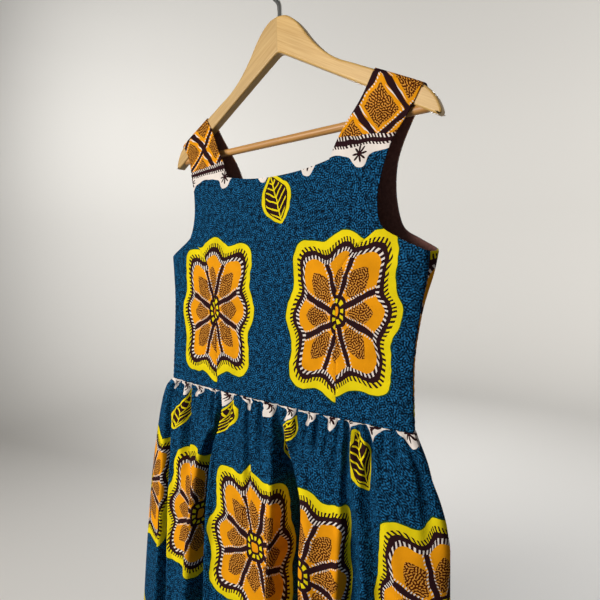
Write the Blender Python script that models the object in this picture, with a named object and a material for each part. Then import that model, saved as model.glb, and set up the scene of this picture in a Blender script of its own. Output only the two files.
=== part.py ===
"""Sleeveless wax print dress with a gathered skirt, hanging on a wooden hanger.

Metres, +Z up. X runs to the right of someone who faces the dress, and its front faces -Y.
The origin is where the hanger hangs: the inner top of its hook. Heights are given as
drops below the top of the hanger's crown.
"""

import math

import bmesh
import bpy
import numpy as np

# ---- Driving dimensions -------------------------------------------------------------

HOOK_RISE = 0.070  # inner top of the hook above the crown
HOOK_RADIUS = 0.00325  # of the bent rod
HOOK_BEND = 0.020  # inner radius of the bend
HOOK_SOCKET = 0.016  # depth of the rod in the crown

HANGER_THICK = 0.014
HANGER_EDGE = 0.0025  # rounding of the wood's edges
CROTCH_DROP = 0.047  # underside of the wood at the middle
ARM_SLOPE = 0.60  # fall of the underside for each metre outwards
CROTCH_ROUND = 0.012
ARM_END = 0.2150  # where the underside runs into the rounded tip
BAR_DROP = 0.1614
BAR_RADIUS = 0.00525
BAR_HALF = 0.2125  # half the length of the bar, sockets included

CLOTH = 0.0015  # thickness of a cloth wall
LINING = 0.0010
GAP = 0.0003  # between pieces that meet
REST = 0.00035  # between cloth and the wood that carries it

NECK_HALF = 0.090  # half the width of the square neck
NECK_DROP = 0.204  # at the corners
NECK_DIP = 0.010  # of the front neckline at the middle
BACK_NECK_DIP = 0.006
SHOULDER_SEAM = 0.002  # y of the seam that lies on top of the hanger
ARM_STRETCH = 1.12  # a level cut through the sloping arm is this much taller
STRAP_HUG = 0.020  # drop below the arm's top over which a strap lies on the wood
STRAP_LEAVE = 0.060  # drop over which it then swings out to the bodice

WAIST_DROP = 0.526
UNDERARM_DROP = 0.321
SIDE_PLACE = 0.9993  # the side seam, half a gap short of the end of its section
BUST_OUT, BUST_DROP = 0.108, 0.350  # centre of the bust shaping
BUST_RISE, BUST_SPREAD = 0.0045, 0.048

SKIRT_LENGTH = 0.620
GATHERS = 24  # across each skirt panel
GATHER_DEPTH = 0.0026
SEAM_GATHER = 0.3  # share of that depth that is left in the waist seam
GATHER_FADE = 0.090  # drop over which the gathers open into the folds
FOLD_START = 0.35  # share of a fold's own drop at which it starts to show

# ---- Tables -------------------------------------------------------------------------

# Upper edge of the hanger: distance out from the middle, drop.
HANGER_TOP = (
    (0.000, 0.0000),
    (0.014, 0.0028),
    (0.027, 0.0115),
    (0.039, 0.0243),
    (0.050, 0.0390),
    (0.062, 0.0530),
    (0.076, 0.0665),
    (0.094, 0.0795),
    (0.118, 0.0918),
    (0.150, 0.1085),
    (0.198, 0.1335),
    (0.210, 0.1422),
    (0.2185, 0.1530),
    (0.2235, 0.1640),
)

# Rounded lower corner of the hanger's tip: distance out, drop.
HANGER_TIP = (
    (0.2247, 0.1688),
    (0.2238, 0.1718),
    (0.2208, 0.1726),
)

# Armhole edge, from the strap's top down to the underarm: distance out, drop.
ARMHOLE = (
    (0.2035, 0.1365),
    (0.1860, 0.1680),
    (0.1720, 0.1960),
    (0.1625, 0.2280),
    (0.1590, 0.2620),
    (0.1660, 0.2900),
    (0.1890, 0.3055),
    (0.2200, UNDERARM_DROP),
)
PRINCESS_TOP = 5  # the row of the armhole where the princess seam starts

SEAM_ROWS = 11  # points up each upright seam, the same in the panels on both its sides
ARMHOLE_ROWS = 7

# Columns across the foot of a strap, as shares of its width. The back's carry on down to
# the side, where the cloth turns, so the last ones are close together.
FRONT_BASE = (0.0, 0.25, 0.5, 0.75, 1.0)
BACK_BASE = (0.0, 0.28, 0.56, 0.80, 0.93, 1.0)

# Princess seam, from the armhole to the waist: distance out, drop.
PRINCESS = (
    ARMHOLE[PRINCESS_TOP],
    (0.1480, 0.3035),
    (0.1290, 0.3200),
    (0.1150, 0.3420),
    (0.1090, 0.3720),
    (0.1070, 0.4300),
    (0.1070, WAIST_DROP),
)

# Inner edge of a strap, from the neck corner to its top: distance out, drop.
STRAP_INNER = (
    (NECK_HALF, NECK_DROP),
    (0.1010, 0.1800),
    (0.1200, 0.1500),
    (0.1455, 0.1062),
)

# Bodice sections: drop, half width, y of the side, of the middle front and of the middle
# back, how square the corners are (2 is an ellipse), and the shift of the whole section
# along x, because the dress hangs a little askew.
BODICE = (
    (0.100, 0.240, 0.000, -0.0105, 0.0115, 5.0, 0.000),
    (0.204, 0.235, -0.004, -0.0225, 0.0130, 5.0, 0.000),
    (0.290, 0.226, -0.014, -0.0350, 0.0160, 5.0, 0.000),
    (0.321, 0.220, -0.019, -0.0380, 0.0170, 4.6, -0.001),
    (0.350, 0.219, -0.022, -0.0400, 0.0160, 3.2, -0.002),
    (0.395, 0.215, -0.026, -0.0420, 0.0120, 2.4, -0.005),
    (0.450, 0.213, -0.031, -0.0435, 0.0060, 2.2, -0.008),
    (0.526, 0.217, -0.034, -0.0455, -0.0010, 2.2, -0.010),
)

# Skirt sections, with the same columns.
SKIRT = (
    (0.526, 0.217, -0.034, -0.0455, -0.0010, 2.2, -0.010),
    (0.545, 0.230, -0.034, -0.0530, 0.0080, 2.2, -0.016),
    (0.580, 0.245, -0.032, -0.0620, 0.0170, 2.3, -0.017),
    (0.640, 0.262, -0.030, -0.0700, 0.0240, 2.4, -0.017),
    (0.720, 0.273, -0.029, -0.0780, 0.0300, 2.4, -0.025),
    (0.860, 0.289, -0.029, -0.0880, 0.0360, 2.4, -0.033),
    (1.000, 0.308, -0.029, -0.0960, 0.0420, 2.4, -0.035),
    (1.146, 0.328, -0.030, -0.1030, 0.0470, 2.4, -0.035),
)

# Hanging folds of the skirt, as troughs: place across the panel from the left side seam
# (-1) to the right one (1) of someone facing it, half width, depth at the hem, and the
# drop below the waist over which the trough grows.
FRONT_FOLDS = (
    (-0.97, 0.075, 0.010, 0.20),
    (-0.73, 0.075, 0.016, 0.16),
    (-0.44, 0.090, 0.021, 0.14),
    (-0.23, 0.060, 0.008, 0.24),
    (0.205, 0.120, 0.030, 0.10),
    (0.500, 0.070, 0.013, 0.10),
    (0.690, 0.065, 0.012, 0.16),
    (0.930, 0.075, 0.010, 0.24),
)
BACK_FOLDS = (
    (-0.90, 0.080, 0.012, 0.20),
    (-0.62, 0.095, 0.020, 0.14),
    (-0.36, 0.070, 0.012, 0.20),
    (-0.07, 0.110, 0.025, 0.12),
    (0.240, 0.075, 0.014, 0.18),
    (0.520, 0.100, 0.022, 0.13),
    (0.800, 0.075, 0.013, 0.20),
)

# Drops below the waist seam at which the skirt's rings are made.
SKIRT_RINGS = (0.0, 0.006, 0.018, 0.040, 0.080, 0.150, 0.270, 0.430, SKIRT_LENGTH)


# ---- Scene and materials ------------------------------------------------------------


def clear_scene():
    for ob in list(bpy.data.objects):
        bpy.data.objects.remove(ob, do_unlink=True)


def make_material(name, colour, roughness, metallic=0.0):
    mat = bpy.data.materials.new(name)
    mat.use_nodes = True
    shader = mat.node_tree.nodes["Principled BSDF"]
    shader.inputs["Base Color"].default_value = (*colour, 1.0)
    shader.inputs["Roughness"].default_value = roughness
    shader.inputs["Metallic"].default_value = metallic
    return mat


def add_object(name, data, mat):
    data.materials.append(mat)
    ob = bpy.data.objects.new(name, data)
    bpy.context.collection.objects.link(ob)
    return ob


# ---- Curves and sections ------------------------------------------------------------


def z_of(drop):
    return -HOOK_RISE - drop


def smooth_step(value):
    value = np.clip(value, 0.0, 1.0)
    return value * value * (3.0 - 2.0 * value)


def through(points, fine=12):
    """A Catmull-Rom curve through the points, as an array of rows."""
    rows = np.array(points, float)
    rows = np.vstack([2 * rows[0] - rows[1], rows, 2 * rows[-1] - rows[-2]])
    t = (np.arange(fine) / fine)[:, None]
    out = []
    for before, start, end, after in zip(rows, rows[1:], rows[2:], rows[3:]):
        bend = 2 * before - 5 * start + 4 * end - after
        twist = 3 * start - before - 3 * end + after
        out.append(0.5 * (2 * start + (end - before) * t + bend * t**2 + twist * t**3))
    return np.vstack([*out, rows[-2]])


def shares_of(curve):
    """How far along a curve each of its points is, from 0 to 1."""
    steps = np.linalg.norm(np.diff(curve, axis=0), axis=1)
    along = np.concatenate([[0.0], np.cumsum(steps)])
    return along / along[-1]


def spaced(curve, shares):
    """The points of a curve at the given shares of its length."""
    along = shares_of(curve)
    return np.stack([np.interp(shares, along, column) for column in curve.T], 1)


def table_at(curve, drop):
    """A section's sizes at a drop, from the smooth curve through a table."""
    return [np.interp(drop, curve[:, 0], column) for column in curve.T[1:]]


def quarter(half_width, side, middle, square, fine=60):
    """A quarter of a section, from its middle to its side, as x and y."""
    turn = np.linspace(0.0, math.pi / 2, fine)
    x = half_width * np.sin(turn) ** (2.0 / square)
    y = side + (middle - side) * np.cos(turn).clip(0) ** (2.0 / square)
    return np.stack([x, y], 1)


def patch(left, right, bottom, top):
    """A four-sided patch between its edges, which share their corners.

    Left and right run upwards, bottom and top run rightwards.
    """
    u = shares_of(bottom)[None, :, None]
    v = shares_of(right)[:, None, None]
    across = (1 - u) * left[:, None] + u * right[:, None]
    upward = (1 - v) * bottom[None] + v * top[None]
    low = (1 - u) * bottom[0] + u * bottom[-1]
    high = (1 - u) * top[0] + u * top[-1]
    return across + upward - ((1 - v) * low + v * high)


class Wall:
    """The outer surface of the bodice's front or back.

    A place on it is 0 at the middle and 1 at the side seam, as a share of the section's
    length at that drop, and negative on the left.
    """

    def __init__(self, is_back):
        self.is_back = is_back
        self.sizes = through(BODICE)

    def section(self, drop):
        half, side, front, back, square, _ = table_at(self.sizes, drop)
        return quarter(half, side, back if self.is_back else front, square)

    def shift(self, drop):
        return table_at(self.sizes, drop)[-1]

    def place(self, x, drop):
        curve = self.section(drop)
        x -= self.shift(drop)
        return math.copysign(np.interp(abs(x), curve[:, 0], shares_of(curve)), x)

    def point(self, place, drop):
        x, y = spaced(self.section(drop), [abs(place)])[0]
        if not self.is_back:
            away = ((x - BUST_OUT) ** 2 + (drop - BUST_DROP) ** 2) / BUST_SPREAD**2
            y -= BUST_RISE * math.exp(-away)
        return np.array([math.copysign(x, place) + self.shift(drop), y, z_of(drop)])

    def normal(self, place, drop):
        """Outwards in the level section, straight sideways at the side seam."""
        curve = self.section(drop)
        near = spaced(curve, [max(abs(place) - 0.01, 0.0), abs(place)])
        along = near[1] - near[0]
        if abs(place) < 0.02:
            along = np.array([1.0, 0.0])
        if abs(place) > 0.985:
            along = np.array([0.0, 1.0 if not self.is_back else -1.0])
        out = np.array([along[1], -along[0]])
        if self.is_back:
            out = -out
        out /= np.linalg.norm(out)
        return np.array([math.copysign(out[0], place), out[1], 0.0])


# ---- Cloth walls --------------------------------------------------------------------


class Cloth:
    """A cloth panel: grids of outer points with their normals, which may share edges."""

    def __init__(self):
        self.index = {}
        self.points = []
        self.normals = []
        self.faces = []

    def corner(self, point, normal):
        key = tuple(np.round(point, 6))
        if key not in self.index:
            self.index[key] = len(self.points)
            self.points.append(point)
            self.normals.append(normal)
        return self.index[key]

    def add_grid(self, grid, normals):
        """Rows run upwards and columns rightwards, as seen from outside the cloth."""
        ids = [[self.corner(p, n) for p, n in zip(*rows)] for rows in zip(grid, normals)]
        for low, high in zip(ids, ids[1:]):
            for a, b, c, d in zip(low, low[1:], high[1:], high):
                self.faces += [(a, b, c), (a, c, d)]

    def add_to_scene(self, name, mat, thickness, inset=0.0):
        """The closed wall whose outer side lies the inset inside the grids' surface."""
        points = np.array(self.points)
        normals = np.array(self.normals)
        outer = points - inset * normals
        inner = outer - thickness * normals
        count = len(points)
        faces = list(self.faces)
        faces += [tuple(i + count for i in reversed(face)) for face in self.faces]
        directed = {(a, b) for f in self.faces for a, b in zip(f, f[1:] + f[:1])}
        for a, b in directed:
            if (b, a) not in directed:
                faces.append((b, a, a + count, b + count))
        mesh = bpy.data.meshes.new(name)
        mesh.from_pydata(np.vstack([outer, inner]).tolist(), [], sorted(faces))
        mesh.shade_smooth()
        mesh.set_sharp_from_angle(angle=math.radians(50))
        return add_object(name, mesh, mat)


def grid_normals(grid, reference):
    """Normals of a grid of points, on the side that faces the reference direction."""
    normals = np.cross(np.gradient(grid, axis=1), np.gradient(grid, axis=0))
    normals /= np.linalg.norm(normals, axis=2, keepdims=True)
    flip = np.sign((normals[0, 0] * reference).sum())
    return normals * flip


# ---- Edges of the bodice panels -----------------------------------------------------


def hanger_top_drop(x):
    curve = through(HANGER_TOP)
    return float(np.interp(abs(x), curve[:, 0], curve[:, 1]))


def armhole_between(high, low):
    """The armhole edge between two drops, running down."""
    curve = through(ARMHOLE)
    inside = curve[(curve[:, 1] > high + 1e-6) & (curve[:, 1] < low - 1e-6)]
    ends = [[np.interp(drop, curve[:, 1], curve[:, 0]), drop] for drop in (high, low)]
    return np.vstack([ends[0], inside, ends[1]])


def strap_base(shares):
    """From the neck corner out to the armhole, at the neck corner's drop."""
    edge = armhole_between(NECK_DROP, UNDERARM_DROP)[0, 0]
    x = NECK_HALF + np.array(shares) * (edge - NECK_HALF)
    return np.stack([x, np.full(len(x), NECK_DROP)], 1)


def neckline(dip, columns):
    """From the middle out to the neck corner."""
    x = np.linspace(0.0, NECK_HALF, columns)
    return np.stack([x, NECK_DROP + dip * (1 - (x / NECK_HALF) ** 2)], 1)


def princess_seam():
    """The princess seam, running up from the waist."""
    return spaced(through(PRINCESS), np.linspace(1, 0, SEAM_ROWS))


def side_seam():
    """The side seam as places and drops, running up from the waist."""
    drops = np.linspace(WAIST_DROP, UNDERARM_DROP, SEAM_ROWS)
    return np.stack([np.full(SEAM_ROWS, SIDE_PLACE), drops], 1)


def moved_aside(edge, distance):
    """An edge moved sideways, away from the middle for an edge that runs up."""
    along = np.gradient(edge, axis=0)
    along /= np.linalg.norm(along, axis=1, keepdims=True)
    return edge - distance * np.stack([along[:, 1], -along[:, 0]], 1)


def placed(wall, edge, side=1):
    """An edge as places and drops, on the right of the middle or on the left (side -1)."""
    return np.array([[wall.place(side * x, drop), drop] for x, drop in edge])


def between(start, end, shares):
    return start + np.array(shares)[:, None] * (end - start)


def add_patch(cloth, wall, grid):
    points = [[wall.point(*at) for at in row] for row in grid]
    normals = [[wall.normal(*at) for at in row] for row in grid]
    if wall.is_back:  # seen from outside, the back's columns run the other way
        points = [row[::-1] for row in points]
        normals = [row[::-1] for row in normals]
    cloth.add_grid(points, normals)


def add_strap(cloth, wall, base, side, layers, seam):
    """One strap, from the body's top row up to the shoulder seam over the hanger.

    The layers are what lies between the wood and the strap's outer surface, and the seam
    is the y where the strap ends.
    """
    sign = 1 if wall.is_back else -1
    out = HANGER_THICK / 2 + layers
    bend = HANGER_EDGE + layers
    rows = 7
    inner = spaced(through(STRAP_INNER), np.linspace(0, 1, rows))
    edge = armhole_between(ARMHOLE[0][1], NECK_DROP)[::-1]
    outer = spaced(edge, np.linspace(0, 1, rows))
    top = inner[-1] + np.linspace(0, 1, len(base))[:, None] * (outer[-1] - inner[-1])
    grid = []
    for row in patch(inner, outer, base, top)[:-1]:
        points = []
        for x, drop in row:
            free = wall.point(wall.place(x, drop), drop)[1]
            leave = (drop - hanger_top_drop(x) - STRAP_HUG) / STRAP_LEAVE
            share = smooth_step(leave)
            points.append([x, share * free + (1 - share) * sign * out, z_of(drop)])
        grid.append(points)
    over = [(out, bend)]
    for turn in np.radians((30.0, 60.0, 90.0)):
        over.append((out - bend * (1 - math.cos(turn)), bend * (1 - math.sin(turn))))
    over.append((sign * seam, 0.0))
    for y, below in over:
        points = []
        for x, _ in top:
            high = z_of(hanger_top_drop(x)) + layers * ARM_STRETCH
            points.append([x, sign * y, high - below * ARM_STRETCH])
        grid.append(points)
    grid = np.array(grid) * np.array([side, 1.0, 1.0])
    if side != -sign:
        grid = grid[:, ::-1]
    cloth.add_grid(grid, grid_normals(grid, np.array([0.0, sign, 0.0])))


# ---- Bodice panels ------------------------------------------------------------------


def add_front_centre(mat):
    wall = Wall(is_back=False)
    armhole = armhole_between(NECK_DROP, ARMHOLE[PRINCESS_TOP][1])
    armhole = spaced(armhole, np.linspace(1, 0, ARMHOLE_ROWS))
    edge = np.vstack([princess_seam(), armhole[1:]])
    left, right = placed(wall, edge, -1), placed(wall, edge, 1)
    base = strap_base(FRONT_BASE)
    half = np.vstack([neckline(NECK_DIP, 6)[:-1], base])
    top = placed(wall, np.vstack([half[:0:-1] * (-1, 1), half]))
    shares = (top[:, 0] / top[-1, 0] + 1) / 2
    cloth = Cloth()
    add_patch(cloth, wall, patch(left, right, between(left[0], right[0], shares), top))
    for side in (-1, 1):
        add_strap(cloth, wall, base, side, REST + CLOTH, SHOULDER_SEAM)
    cloth.add_to_scene("bodice_front_centre", mat, CLOTH)


def add_side_front(name, side, mat):
    wall = Wall(is_back=False)
    princess = moved_aside(princess_seam(), GAP)
    princess[0, 1] = WAIST_DROP
    inner = placed(wall, princess, side)
    outer = side_seam() * (side, 1)
    armhole = placed(wall, armhole_between(princess[-1, 1], UNDERARM_DROP), side)
    armhole[0] = inner[-1]
    armhole[-1] = outer[-1]
    shares = np.sin(np.linspace(0, math.pi / 2, 9))  # closest at the side seam
    top = spaced(armhole, shares)
    grid = patch(inner, outer, between(inner[0], outer[0], shares), top)
    cloth = Cloth()
    add_patch(cloth, wall, grid if side > 0 else grid[:, ::-1])
    cloth.add_to_scene(name, mat, CLOTH)


def back_cloth(side):
    """Half the back with its strap, which both the panel and its lining are made from."""
    wall = Wall(is_back=True)
    armhole = placed(wall, armhole_between(NECK_DROP, UNDERARM_DROP), side)
    armhole[-1, 0] = side * SIDE_PLACE
    upper = spaced(armhole, np.linspace(1, 0, ARMHOLE_ROWS))
    outer = np.vstack([side_seam() * (side, 1), upper[1:]])
    base = strap_base(BACK_BASE)
    top = np.vstack([neckline(BACK_NECK_DIP, 6)[:-1], base])
    top[0, 0] = GAP / 2
    top = placed(wall, top, side)
    drops = WAIST_DROP + shares_of(outer) * (top[0, 1] - WAIST_DROP)
    inner = np.stack([np.full(len(drops), top[0, 0]), drops], 1)
    shares = (top[:, 0] - top[0, 0]) / (top[-1, 0] - top[0, 0])
    grid = patch(inner, outer, between(inner[0], outer[0], shares), top)
    cloth = Cloth()
    add_patch(cloth, wall, grid if side > 0 else grid[:, ::-1])
    layers = REST + LINING + GAP + CLOTH
    add_strap(cloth, wall, base, side, layers, SHOULDER_SEAM + GAP)
    return cloth


# ---- Skirt --------------------------------------------------------------------------


def gather_places():
    """Quarter points of the uneven gathers across a panel, from -1 to 1."""
    number = np.arange(GATHERS)
    widths = 1.0 + 0.34 * np.sin(2.4 * number + 0.6) + 0.16 * np.sin(5.1 * number)
    quarters = np.repeat(widths / 4, 4)
    along = np.concatenate([[0.0], np.cumsum(quarters)])
    return 2.0 * along / along[-1] - 1.0


def gather_wave(column):
    """Height of a gather at a quarter point: troughs at the ends of each gather."""
    number = column // 4
    strength = 0.75 + 0.25 * math.sin(1.7 * number + 1.0)
    return -math.cos(column * math.pi / 2) * strength


def fold_depth(place, below, folds):
    depth = 0.0
    for centre, half_width, deepest, grows in folds:
        nearness = abs(place - centre) / half_width
        started = smooth_step((below / grows - FOLD_START) / (1 - FOLD_START))
        opened = 0.55 + 0.45 * below / SKIRT_LENGTH
        depth += deepest * started * opened * (1 - smooth_step(nearness))
    return depth


def skirt_ring(sizes, places, below):
    """A closed ring of the skirt: its outer points and normals, front panel first."""
    drop = WAIST_DROP + GAP + below
    half, side, front, back, square, shift = table_at(sizes, WAIST_DROP + below)
    height = GATHER_DEPTH * (1 - smooth_step(below / GATHER_FADE))
    if below == 0:
        height *= SEAM_GATHER
    base = []
    lift = []
    for middle, turn, folds in ((front, 1, FRONT_FOLDS), (back, -1, BACK_FOLDS)):
        quarter_curve = quarter(half, side, middle, square)
        for column, place in enumerate(places[:-1]):
            x, y = spaced(quarter_curve, [abs(place)])[0]
            base.append([turn * math.copysign(x, place) + shift, y])
            lift.append(height * gather_wave(column) - fold_depth(place, below, folds))
    base = np.array(base)
    base += outwards(base) * np.array(lift)[:, None]
    z = np.full(len(base), z_of(drop))
    normals = outwards(base)
    return np.column_stack([base, z]), np.column_stack([normals, 0 * z])


def outwards(ring):
    along = np.roll(ring, -1, axis=0) - np.roll(ring, 1, axis=0)
    along /= np.linalg.norm(along, axis=1, keepdims=True)
    return np.stack([along[:, 1], -along[:, 0]], 1)


def add_skirt(mat):
    places = gather_places()
    rings = [skirt_ring(through(SKIRT), places, below) for below in SKIRT_RINGS[::-1]]
    points = np.array([ring[0] for ring in rings])
    normals = np.array([ring[1] for ring in rings])
    columns = len(places) - 1
    for name, first in (("skirt_front", 0), ("skirt_back", columns)):
        span = np.arange(first, first + columns + 1) % (2 * columns)
        grid = points[:, span].copy()
        for end, inner in ((0, 1), (-1, -2)):  # half the seam's gap at each side
            step = grid[:, inner] - grid[:, end]
            grid[:, end] += step * (GAP / 2 / np.linalg.norm(step, axis=1, keepdims=True))
        cloth = Cloth()
        cloth.add_grid(grid, normals[:, span])
        cloth.add_to_scene(name, mat, CLOTH)


# ---- Hanger -------------------------------------------------------------------------


def hanger_outline():
    """Half the wood's outline, from the crown round the tip to the crotch."""
    upper = through(HANGER_TOP + HANGER_TIP, fine=2)
    x = np.array([ARM_END, 0.19, 0.14, 0.09, 0.05, 0.028, 0.015, 0.006, 0.0])
    drop = CROTCH_DROP + ARM_SLOPE * (np.hypot(x, CROTCH_ROUND) - CROTCH_ROUND)
    return np.vstack([upper, np.stack([x, drop], 1)])


def cylinder(name, radius, start, end, sides):
    """A round rod between two points, as a mesh."""
    start, end = np.array(start), np.array(end)
    along = end - start
    length = float(np.linalg.norm(along))
    axis = "X" if abs(along[0]) > abs(along[2]) else "Z"
    bm = bmesh.new()
    bmesh.ops.create_cone(
        bm, cap_ends=True, segments=sides, radius1=radius, radius2=radius, depth=length
    )
    for v in bm.verts:
        x, y, z = v.co
        v.co = (z, y, -x) if axis == "X" else (x, y, z)
        for i in range(3):
            v.co[i] += (start[i] + end[i]) / 2
    mesh = bpy.data.meshes.new(name)
    bm.to_mesh(mesh)
    bm.free()
    mesh.shade_smooth()
    mesh.set_sharp_from_angle(angle=math.radians(50))
    return mesh


def add_cutter(name, mesh, mat, target):
    ob = add_object(name, mesh, mat)
    ob.hide_render = True
    ob.display_type = "WIRE"
    cut = target.modifiers.new(name, "BOOLEAN")
    cut.operation = "DIFFERENCE"
    cut.object = ob


def add_hanger(wood, bar_wood, metal):
    half = hanger_outline()
    outline = np.vstack([half, half[-2:0:-1] * (-1, 1)])
    bm = bmesh.new()
    front = [bm.verts.new((x, -HANGER_THICK / 2, z_of(drop))) for x, drop in outline]
    back = [bm.verts.new((x, HANGER_THICK / 2, z_of(drop))) for x, drop in outline]
    bm.faces.new(front)
    bm.faces.new(back[::-1])
    for a, b, c, d in zip(front, front[1:] + front[:1], back[1:] + back[:1], back):
        bm.faces.new((b, a, d, c))
    bmesh.ops.recalc_face_normals(bm, faces=bm.faces)
    mesh = bpy.data.meshes.new("hanger_body")
    bm.to_mesh(mesh)
    bm.free()
    mesh.shade_smooth()
    mesh.set_sharp_from_angle(angle=math.radians(50))
    body = add_object("hanger_body", mesh, wood)
    edge = body.modifiers.new("rounded_edges", "BEVEL")
    edge.width = HANGER_EDGE
    edge.segments = 2
    edge.use_clamp_overlap = False
    edge.limit_method = "ANGLE"
    edge.angle_limit = math.radians(60)

    z = z_of(BAR_DROP)
    bar = cylinder("trouser_bar", BAR_RADIUS, (-BAR_HALF, 0, z), (BAR_HALF, 0, z), 16)
    add_object("trouser_bar", bar, bar_wood)
    deep = BAR_HALF + GAP
    hole = cylinder("bar_sockets", BAR_RADIUS + GAP, (-deep, 0, z), (deep, 0, z), 16)
    add_cutter("bar_sockets", hole, wood, body)
    low, high = z_of(HOOK_SOCKET + GAP), z_of(-0.01)
    hole = cylinder("hook_socket", HOOK_RADIUS + GAP, (0, 0, low), (0, 0, high), 12)
    add_cutter("hook_socket", hole, wood, body)
    add_hook(metal)


def add_hook(metal):
    """The bent rod: up out of the crown, round to the left, over and down on the right."""
    radius = HOOK_BEND + HOOK_RADIUS
    centre = -HOOK_BEND
    low = math.radians(215)  # where the rod joins the round bend
    join = (radius * math.cos(low), centre + radius * math.sin(low))
    neck = (
        (0.0, z_of(HOOK_SOCKET)),
        (0.0, z_of(0.0)),
        (0.0, z_of(-0.010)),
        (-0.0012, z_of(-0.018)),
        (-0.0075, z_of(-0.0265)),
        join,
    )
    points = [tuple(p) for p in through(neck, fine=4)[:-1]]
    for turn in np.linspace(low, math.radians(-28), 20):
        points.append((radius * math.cos(turn), centre + radius * math.sin(turn)))
    curve = bpy.data.curves.new("hook", "CURVE")
    curve.dimensions = "3D"
    spline = curve.splines.new("POLY")
    spline.points.add(len(points) - 1)
    for at, (x, z) in zip(spline.points, points):
        at.co = (x, 0.0, z, 1.0)
    curve.bevel_depth = HOOK_RADIUS
    curve.bevel_resolution = 2
    curve.use_fill_caps = True
    add_object("hook", curve, metal)


# ---- Assembly -----------------------------------------------------------------------


def build():
    clear_scene()
    print_cotton = make_material("wax_print_cotton", (0.012, 0.085, 0.170), 0.75)
    lining_cotton = make_material("lining_cotton", (0.045, 0.016, 0.014), 0.85)
    pale_wood = make_material("varnished_pale_wood", (0.660, 0.440, 0.210), 0.38)
    bar_wood = make_material("turned_bar_wood", (0.560, 0.300, 0.110), 0.42)
    metal = make_material("chromed_steel", (0.620, 0.620, 0.610), 0.12, 1.0)

    add_front_centre(print_cotton)
    add_side_front("bodice_side_front_left", -1, print_cotton)
    add_side_front("bodice_side_front_right", 1, print_cotton)
    for hand, side in (("left", -1), ("right", 1)):
        cloth = back_cloth(side)
        cloth.add_to_scene(f"bodice_back_{hand}", print_cotton, CLOTH)
        cloth.add_to_scene(f"lining_back_{hand}", lining_cotton, LINING, CLOTH + GAP)
    add_skirt(print_cotton)
    add_hanger(pale_wood, bar_wood, metal)


build()
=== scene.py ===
# %% [markdown]
# # A wax print dress on a wooden hanger
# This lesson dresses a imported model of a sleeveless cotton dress. Every solid of the model
# is made again as thin cloth, wood or steel with its own finish. We work in metres, with Z
# up, X to the right of someone who faces the dress, and the dress facing -Y. The origin is
# the inner top of the hanger's hook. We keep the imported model's box at once, because at the
# end the finished pieces have to fill the same space.

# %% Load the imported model
import math
from functools import partial, reduce

import bmesh
import bpy
import numpy as np
from mathutils import Matrix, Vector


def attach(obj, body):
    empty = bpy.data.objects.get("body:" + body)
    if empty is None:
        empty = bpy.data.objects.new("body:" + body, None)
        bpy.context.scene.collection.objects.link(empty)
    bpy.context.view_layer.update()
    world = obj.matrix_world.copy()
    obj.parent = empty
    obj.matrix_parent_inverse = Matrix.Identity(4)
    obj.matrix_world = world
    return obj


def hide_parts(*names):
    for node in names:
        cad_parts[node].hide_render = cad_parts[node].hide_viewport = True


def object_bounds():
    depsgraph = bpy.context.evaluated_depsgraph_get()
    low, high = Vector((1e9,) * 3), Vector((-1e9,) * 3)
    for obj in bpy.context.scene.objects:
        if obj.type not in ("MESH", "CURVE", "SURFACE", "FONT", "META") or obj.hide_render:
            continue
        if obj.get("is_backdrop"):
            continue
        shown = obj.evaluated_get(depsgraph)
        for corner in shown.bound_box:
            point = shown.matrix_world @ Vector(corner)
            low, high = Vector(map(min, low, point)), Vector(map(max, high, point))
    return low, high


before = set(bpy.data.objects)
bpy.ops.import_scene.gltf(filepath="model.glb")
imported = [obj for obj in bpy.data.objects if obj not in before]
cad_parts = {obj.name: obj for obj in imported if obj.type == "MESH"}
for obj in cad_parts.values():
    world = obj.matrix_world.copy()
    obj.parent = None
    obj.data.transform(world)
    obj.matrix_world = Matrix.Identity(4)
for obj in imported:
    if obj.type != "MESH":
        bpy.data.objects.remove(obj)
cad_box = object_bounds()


def print_box(title, box):
    print(title, [[round(value, 3) for value in corner] for corner in box])


print("nodes:", ", ".join(sorted(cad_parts)))
print_box("box of the packed model:", cad_box)

# %% [markdown]
# ## The camera
# The dress is seen from close by, a little from its right and from above. So the lens is a
# wide one, and the near side of the dress looks larger than the far side. We turn the camera
# about Z, tip it, and roll it, in that order. The view transform is Standard, so that a
# colour on the cloth reaches the picture as it was chosen.

# %% Place the camera
CAMERA_AT = (0.3876, -0.4913, -0.3932)
TURNED, TIPPED, ROLLED = (math.radians(angle) for angle in (36.536, 90 - 5.781, -1.2515))
SENSOR_WIDTH = 36.0  # mm
FOCAL_COLUMNS, PICTURE_COLUMNS = 433, 600


def add_object(name, data):
    """A new object in the scene that carries this data."""
    thing = bpy.data.objects.new(name, data)
    bpy.context.collection.objects.link(thing)
    return thing


lens = bpy.data.cameras.new("camera")
lens.sensor_width = SENSOR_WIDTH
lens.lens = SENSOR_WIDTH * FOCAL_COLUMNS / PICTURE_COLUMNS
camera = add_object("camera", lens)
camera.matrix_world = (
    Matrix.Translation(CAMERA_AT)
    @ Matrix.Rotation(TURNED, 4, "Z")
    @ Matrix.Rotation(TIPPED, 4, "X")
    @ Matrix.Rotation(ROLLED, 4, "Z")
)
bpy.context.scene.camera = camera
bpy.context.scene.view_settings.view_transform = "Standard"
print(f"lens: {lens.lens:.2f} mm")

# %% [markdown]
# ## Colours and nodes
# A colour is written as an sRGB hex value, but shaders count in linear light, so one
# function turns the one into the other. Another adds a node, sets it, fills its inputs in
# their order, and gives back one of its outputs. "VectorMath:ADD" stands for a VectorMath
# node that is set to ADD, and a sign such as "+" for a Math node.


# %% Helpers for materials
SIGNS = {"+": "ADD", "-": "SUBTRACT", "*": "MULTIPLY", "<": "LESS_THAN", ">": "GREATER_THAN"}


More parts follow.
